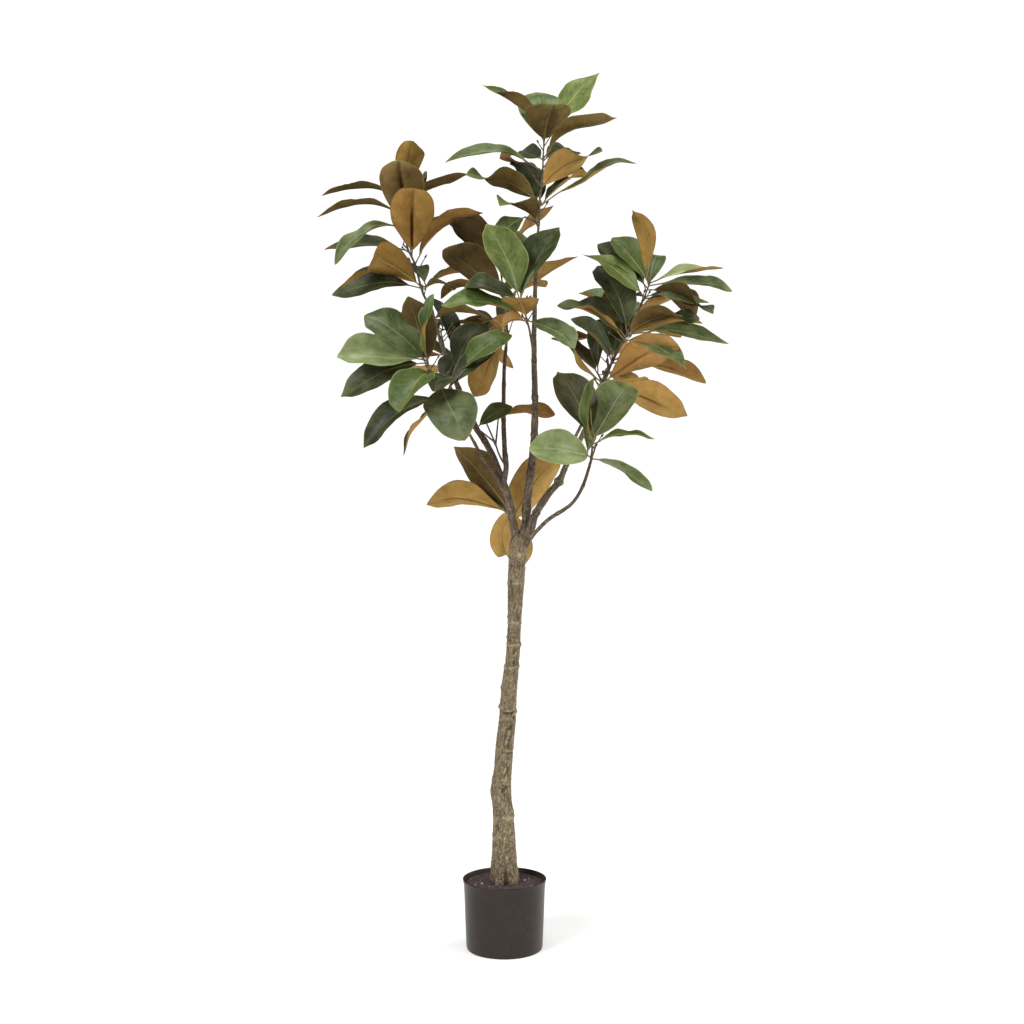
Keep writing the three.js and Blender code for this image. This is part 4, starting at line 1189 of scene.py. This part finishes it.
# the draws come in the rule's own order, so that a seed gives the leaves of the solid mass
def planMass(mass, stem):
    draw = seeded(mass["seed"])
    lookDraw = seeded(mass["seed"] * 977 + 5)
    leaves, twigs = [], []

    def planLeaf(line, distance, order, aim):
        bearing, lift, face, reach, edge, kind, own = aim
        leaf = {name: draw(*span) for name, span in leafVariation.items()}
        leaf.update({name: lookDraw(*span) for name, span in leafLook.items()})
        leaf["bearing"] += bearing
        leaf["lift"] += lift
        root = spotOn(line, max(rootSpacing, distance - order * rootSpacing))
        leaf.update(root=root, face=face, reach=reach, edge=edge, kind=kind, own=own)
        leaves.append(leaf)

    for tier in mass["tiers"]:
        distance = tier["at"] * lineLength(stem)
        fork = spotOn(stem, distance)
        line = stem
        if "twig" in tier:
            bearing, lift, distance = tier["twig"]
            line = [fork, fork + direction(bearing, lift) * distance]
            twigs.append(line)
        for order, aim in enumerate(tier["leaves"]):
            planLeaf(line, distance, order, aim)
        if "fill" in tier:
            count, middle, *own = tier["fill"]
            heading = direction(middle, draw(*sideTwig["lift"]))
            length = draw(*sideTwig["length"])
            side = [fork, fork + heading * length]
            twigs.append(side)
            for i in range(count):
                spread = 2 * i / (count - 1) - 1 if count > 1 else 0
                lift, reach = draw(*sideTwig["leafLift"]), draw(*sideTwig["reach"])
                kind = unaimedKinds[int(lookDraw() * len(unaimedKinds))]
                bearing = middle + sideTwig["fan"] * spread
                planLeaf(side, length, i, aimed(bearing, lift, 0, reach, kind, **(own[0] if own else {})))
    return leaves, twigs


# turns across and up that a solid leaf may have had to clear its neighbours
leafTurns = ((0, 0), (9, 5), (-9, 5), (0, 12), (0, -12), (18, -6), (-18, -6), (24, 16), (-24, 16))
tipFound = 1.2  # millimetres


# the solid leaf's turn is read off its tip, and a leaf that the solid hasn't got is left out
def turnedLeaf(leaf, solidPoints):
    for across, rise in leafTurns:
        turned = {**leaf, "bearing": leaf["bearing"] + across, "lift": leaf["lift"] + rise}
        tip = leaf["root"] + direction(turned["bearing"], turned["lift"]) * leaf["reach"]
        if solidPoints.find(Vector(tip) * mm)[2] < tipFound * mm:
            turned.update(leaf["own"])
            turned["root"] = leaf["root"] + np.array(turned.get("shift", (0, 0, 0)), float)
            return turned
    return None


def solidTree(node):
    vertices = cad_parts[node].data.vertices
    tree = KDTree(len(vertices))
    for i, vertex in enumerate(vertices):
        tree.insert(vertex.co, i)
    tree.balance()
    return tree


# Leaves.

leafForm = {
    "petioleShare": 0.09, "longReach": 175, "longShare": 0.6,  # past the long reach petioles are longer
    "widthShare": 0.54, "tip": 0.4, "thickness": 0.9, "alongSteps": 24,
    "gather": 0.06,  # how far the steps draw to both ends
    # places across, in shares of half the width
    "places": (-1, -0.95, -0.8, -0.58, -0.34, -0.13, -0.04, 0.04, 0.13, 0.34, 0.58, 0.8, 0.95, 1),
    "dripFrom": 0.84, "twistAbout": 0.35, "tipTwistFrom": 0.45, "curlFrom": 0.6,  # shares of the blade
    "cockles": ((0.028, 3.0), (0.075, 1.1)),  # scale and height of soft dents
    "ribWidth": 1.6, "ribUnder": 0.9, "ribUpper": -0.3,  # the midrib stands out below and is sunk above
    "petioleRadius": 1.5, "petioleSides": 6, "petioleSteps": 5, "petioleDrop": 0.4,
}

# where the blade, the stalk and its ends lie in a leaf's cell of the map, as shares: start and size each way
bakeCell = {
    "blade": (0.04, 0.92, 0.1, 0.88),
    "stalk": (0.05, 0.75, 0.01, 0.07),
    "end": (0.9, 0.03, 0.05, 0.02),
}


# half the width at a share of the blade, from a wedge at the base over the widest place to a rounded tip
def leafHalfWidth(leaf, s):
    if s < leaf["widest"]:
        wide = math.sin(math.pi / 2 * s / leaf["widest"]) ** leaf["baseFull"]
    else:
        wide = math.sin(math.pi / 2 * (1 - s) / (1 - leaf["widest"])) ** leaf["tipFull"]
    return wide * (1 - leaf["drip"] * smoothStep(s, leafForm["dripFrom"], 1))


def leafRows(leaf):
    form = leafForm
    ahead = direction(leaf["bearing"], leaf["lift"])
    top = up + front * leaf["face"] + right * leaf["edge"]
    top = unit(top - ahead * np.dot(top, ahead))
    side = np.cross(ahead, top)
    reach = leaf["reach"]
    petiole = form["petioleShare"] * reach + form["longShare"] * max(0, reach - form["longReach"])
    petiole *= leaf["stalk"]
    blade = reach - petiole
    bend = math.radians(leaf["bend"])
    arcRadius = reach / (2 * math.sin(bend / 2))

    def placeAt(share):
        turn = bend * (share - 0.5)
        centre = (leaf["root"] + ahead * arcRadius * (math.sin(turn) + math.sin(bend / 2))
                  + top * arcRadius * (math.cos(turn) - math.cos(bend / 2)))
        return centre, top * math.cos(turn) + ahead * math.sin(turn)

    steps = np.linspace(0, 1, form["alongSteps"] + 1)
    steps = steps - form["gather"] * np.sin(2 * math.pi * steps)
    full = form["widthShare"] * blade * leaf["width"] / 2
    rows = []
    for s in steps:
        centre, normal = placeAt((petiole + s * blade) / reach)
        least = form["petioleRadius"] * 0.9 if s < 0.2 else form["tip"]
        wide = max(full * leafHalfWidth(leaf, s), least)
        twist = math.radians(leaf["twist"] * (s - form["twistAbout"])
                             + leaf["tipTwist"] * smoothStep(s, form["tipTwistFrom"], 1))
        across = side * math.cos(twist) + normal * math.sin(twist)
        out = normal * math.cos(twist) - side * math.sin(twist)
        curl = leaf["curl"] * smoothStep(s, form["curlFrom"], 1) ** 1.5
        centre = (centre + side * leaf["sweep"] * math.sin(math.pi * s)
                  + normal * (leaf["sway"] * math.sin(2 * math.pi * s) - curl))
        rows.append((s, centre, across, out, wide))
    stalkEnd = (petiole + 0.05 * blade) / reach  # a little way into the blade
    stalk = [placeAt(share) for share in np.linspace(0, stalkEnd, form["petioleSteps"])]
    return rows, stalk, side, blade


# a place on the middle of the blade: both halves fold up from the midrib, belly down between it and the rim,
# and wave along the rim
def leafPoint(row, x, leaf):
    s, centre, across, out, wide = row
    a = abs(x)
    fold = math.atan((leaf["fold"] + leaf["moreFold"]) * (1 - 0.3 * s))
    lift = wide * (a * math.sin(fold) - leaf["bulge"] * math.sin(math.pi * a**0.75) - leaf["droop"] * a**5)
    phase = leaf["waves"] * s * 2 * math.pi + (leaf["sweep"] if x < 0 else leaf["twist"])
    lift += leaf["wave"] * math.sin(phase) * a**2.2 * math.sin(math.pi * min(1, s * 1.05))
    seat = Vector((x * wide, s * leaf["reach"], leaf["bearing"] * 7))
    dent = sum(noise.noise(seat * scale) * height for scale, height in leafForm["cockles"])
    lift += dent * math.sin(math.pi * s) * (0.3 + a)
    return centre + across * x * wide * math.cos(fold) + out * lift


def addLeaf(maker, leaf, number, columns, lines):
    form = leafForm
    rows, stalk, side, blade = leafRows(leaf)
    places = form["places"]
    upper, under = leafKinds[leaf["kind"]]

    def cornerIn(area, cell, across, along):
        line, column = divmod(cell, columns)
        fromLeft, width, fromFoot, height = bakeCell[area]
        return (column + fromLeft + width * across) / columns, (line + fromFoot + height * along) / lines

    for facing, material, cell in ((1, upper, 2 * number), (-1, under, 2 * number + 1)):
        points, spots, shares, tones = [], [], [], []
        # only the underside gets painted shade along its sunk midrib
        ribHeight, sunk, seed = form["ribUpper"], 0, number * 37
        if facing < 0:
            ribHeight, sunk, seed = form["ribUnder"], leaf["sunk"], seed + 500
        for row in rows:
            s, _, _, out, wide = row
            for x in places:
                skin = form["thickness"] / 2 * (1 - abs(x) ** 8)
                skin += ribHeight * bell(x * wide / form["ribWidth"]) * (1 - s)
                points.append(leafPoint(row, x, leaf) + out * skin * facing)
                spots.append((x * wide, s * blade, seed))
                shares.append((x, s, wide))
                tones.append((leaf["lightness"], sunk, leaf["warmth"]))
        faces, corners = [], []
        for i in range(len(rows) - 1):
            for j in range(len(places) - 1):
                quad = [(i, j), (i, j + 1), (i + 1, j + 1), (i + 1, j)][::-facing]
                faces.append(tuple(m * len(places) + n for m, n in quad))
                corners += [cornerIn("blade", cell, (places[n] + 1) / 2, rows[m][0]) for m, n in quad]
        values = {"leafSpot": spots, "leafShare": shares, "leafTone": tones}
        maker.add(points, faces, material, values, corners)

    sides, radius = form["petioleSides"], form["petioleRadius"]
    turns = [2 * math.pi * i / sides for i in range(sides)]
    drop = form["petioleDrop"]
    points = [centre + side * math.cos(turn) * radius + normal * (math.sin(turn) * radius - drop)
              for centre, normal in stalk for turn in turns]
    faces, corners = tubeFaces(len(stalk), sides), []
    for face in faces:
        spread = {point % sides for point in face}
        for point in face:
            ring, i = divmod(point, sides)
            if len(face) > 4:  # one of the two ends
                corners.append(cornerIn("end", 2 * number, math.cos(turns[i]), math.sin(turns[i])))
            else:
                around = sides if i == 0 and sides - 1 in spread else i
                corners.append(cornerIn("stalk", 2 * number, ring / (len(stalk) - 1), around / sides))
    spots = [(math.cos(i) * 3, ring * 3, number) for ring in range(len(stalk)) for i in range(sides)]
    shares, tones = [(0.5, 0.3, 30)] * len(points), [(0, 0, 0)] * len(points)
    values = {"leafSpot": spots, "leafShare": shares, "leafTone": tones}
    maker.add(points, faces, "leafStalk", values, corners)


# Twigs.

twigForm = {
    "sides": 9, "spacing": 3, "tipRadius": 1.5, "forkRadius": 2.0, "hostRadius": 2.6,
    "stemShare": 0.9, "lead": (0.3, 6),  # share of the bough's last radius, and first steps past its tip
    "joint": (0.45, 3.5),  # extra share of the radius where leaves leave, and its width
    "rough": (1.4, 0.5, 0.12),  # noise: scale round the twig and along its rings, then share of the radius
    "bud": (9, 2.3),  # length and radius, and then shares of both
    "budShape": ((0.12, 0.75), (0.35, 1), (0.6, 0.85), (0.82, 0.5), (1, 0.12)),
}
spurForm = {"perTier": 2, "before": (8, 26), "lift": (20, 65), "length": (14, 34), "radii": (1.3, 1.0)}


def addTwig(maker, line, radii, seed, joints=(), bud=False):
    form = twigForm
    if len(line) > 2:
        centres = smoothCourse(line, form["spacing"])
    else:
        centres = np.linspace(line[0], line[1], max(3, int(lineLength(line) / form["spacing"])))
    length = lineLength(centres)
    crossed = crossesAlong(centres)
    swelling, width = form["joint"]
    outs = []
    for ring in range(len(centres)):
        along = length * ring / (len(centres) - 1)
        out = np.interp(along, (0, length), radii)
        for joint in joints:
            out *= 1 + swelling * bell((along - joint) / width)
        outs.append(out)
    if bud:
        heading = unit(centres[-1] - centres[-2])
        budLength, budRadius = form["bud"]
        centres = [*centres, *(centres[-1] + heading * budLength * share for share, _ in form["budShape"])]
        outs += [budRadius * share for _, share in form["budShape"]]
        crossed += [crossed[-1]] * len(form["budShape"])
    around, along, rise = form["rough"]
    points, spots, reliefs = [], [], []
    for ring, (centre, out, (across, over)) in enumerate(zip(centres, outs, crossed)):
        for i in range(form["sides"]):
            x, y = math.cos(2 * math.pi * i / form["sides"]), math.sin(2 * math.pi * i / form["sides"])
            rough = barkNoise((x, y, ring), around, along, seed)
            points.append(centre + (across * x + over * y) * out * (1 + rise * rough))
            spots.append((x * 2.5, y * 2.5, ring * form["spacing"] + seed * 30))
            # the relief that the paint darkens in hollows as painted shade and lightens on crests as painted
            # highlight
            reliefs.append((rough * 0.6, 0, 0))
    values = {"barkSpot": spots, "barkRelief": reliefs}
    maker.add(points, tubeFaces(len(centres), form["sides"]), "boughBark", values)


# short spurs with a bud, finer than the rule's own twigs, in the gaps of each tier
def addSpurs(maker, mass, stem):
    draw = seeded(mass["seed"] * 31 + 7)
    for tier in mass["tiers"]:
        for _ in range(spurForm["perTier"]):
            root = spotOn(stem, max(4, tier["at"] * lineLength(stem) - draw(*spurForm["before"])))
            heading = direction(draw(0, 360), draw(*spurForm["lift"]))
            length = draw(*spurForm["length"])
            line = [root, root + heading * length * 0.5 + up * 1.5, root + heading * length + up * 5]
            addTwig(maker, line, spurForm["radii"], draw(0, 50), bud=True)


def buildFoliage(mass):
    stem, stemRadius = stemLine(mass)
    planned, twigs = planMass(mass, stem)
    solidPoints = solidTree(mass["name"])
    leaves = [leaf for leaf in (turnedLeaf(leaf, solidPoints) for leaf in planned) if leaf]
    if len(leaves) < len(planned):
        print(mass["name"], "leaves left out as in the solid:", len(planned) - len(leaves))
    columns = math.ceil(math.sqrt(4 * len(leaves)))
    lines = math.ceil(2 * len(leaves) / columns)
    leafMaker = PieceMaker(mass["name"] + "_leaves")
    for number, leaf in enumerate(leaves):
        addLeaf(leafMaker, leaf, number, columns, lines)
    leafMaker.make(mass["name"])
    twigMaker = PieceMaker(mass["name"] + "_twigs")
    joints = [tier["at"] * lineLength(stem) for tier in mass["tiers"]]
    addTwig(twigMaker, stem, (stemRadius, twigForm["tipRadius"]), mass["seed"], joints)
    for i, line in enumerate(twigs):
        radii = twigForm["forkRadius"], twigForm["tipRadius"]
        addTwig(twigMaker, line, radii, mass["seed"] + 5 * i + 2, [lineLength(line)])
    if "bough" in mass:
        addSpurs(twigMaker, mass, stem)
    twigMaker.make(mass["name"])
    return len(leaves)


leafTotal = sum(buildFoliage(mass) for mass in masses)
print("leaves and twigs made:", leafTotal, "leaves")

# Bring the scene up to date.

bpy.context.view_layer.update()
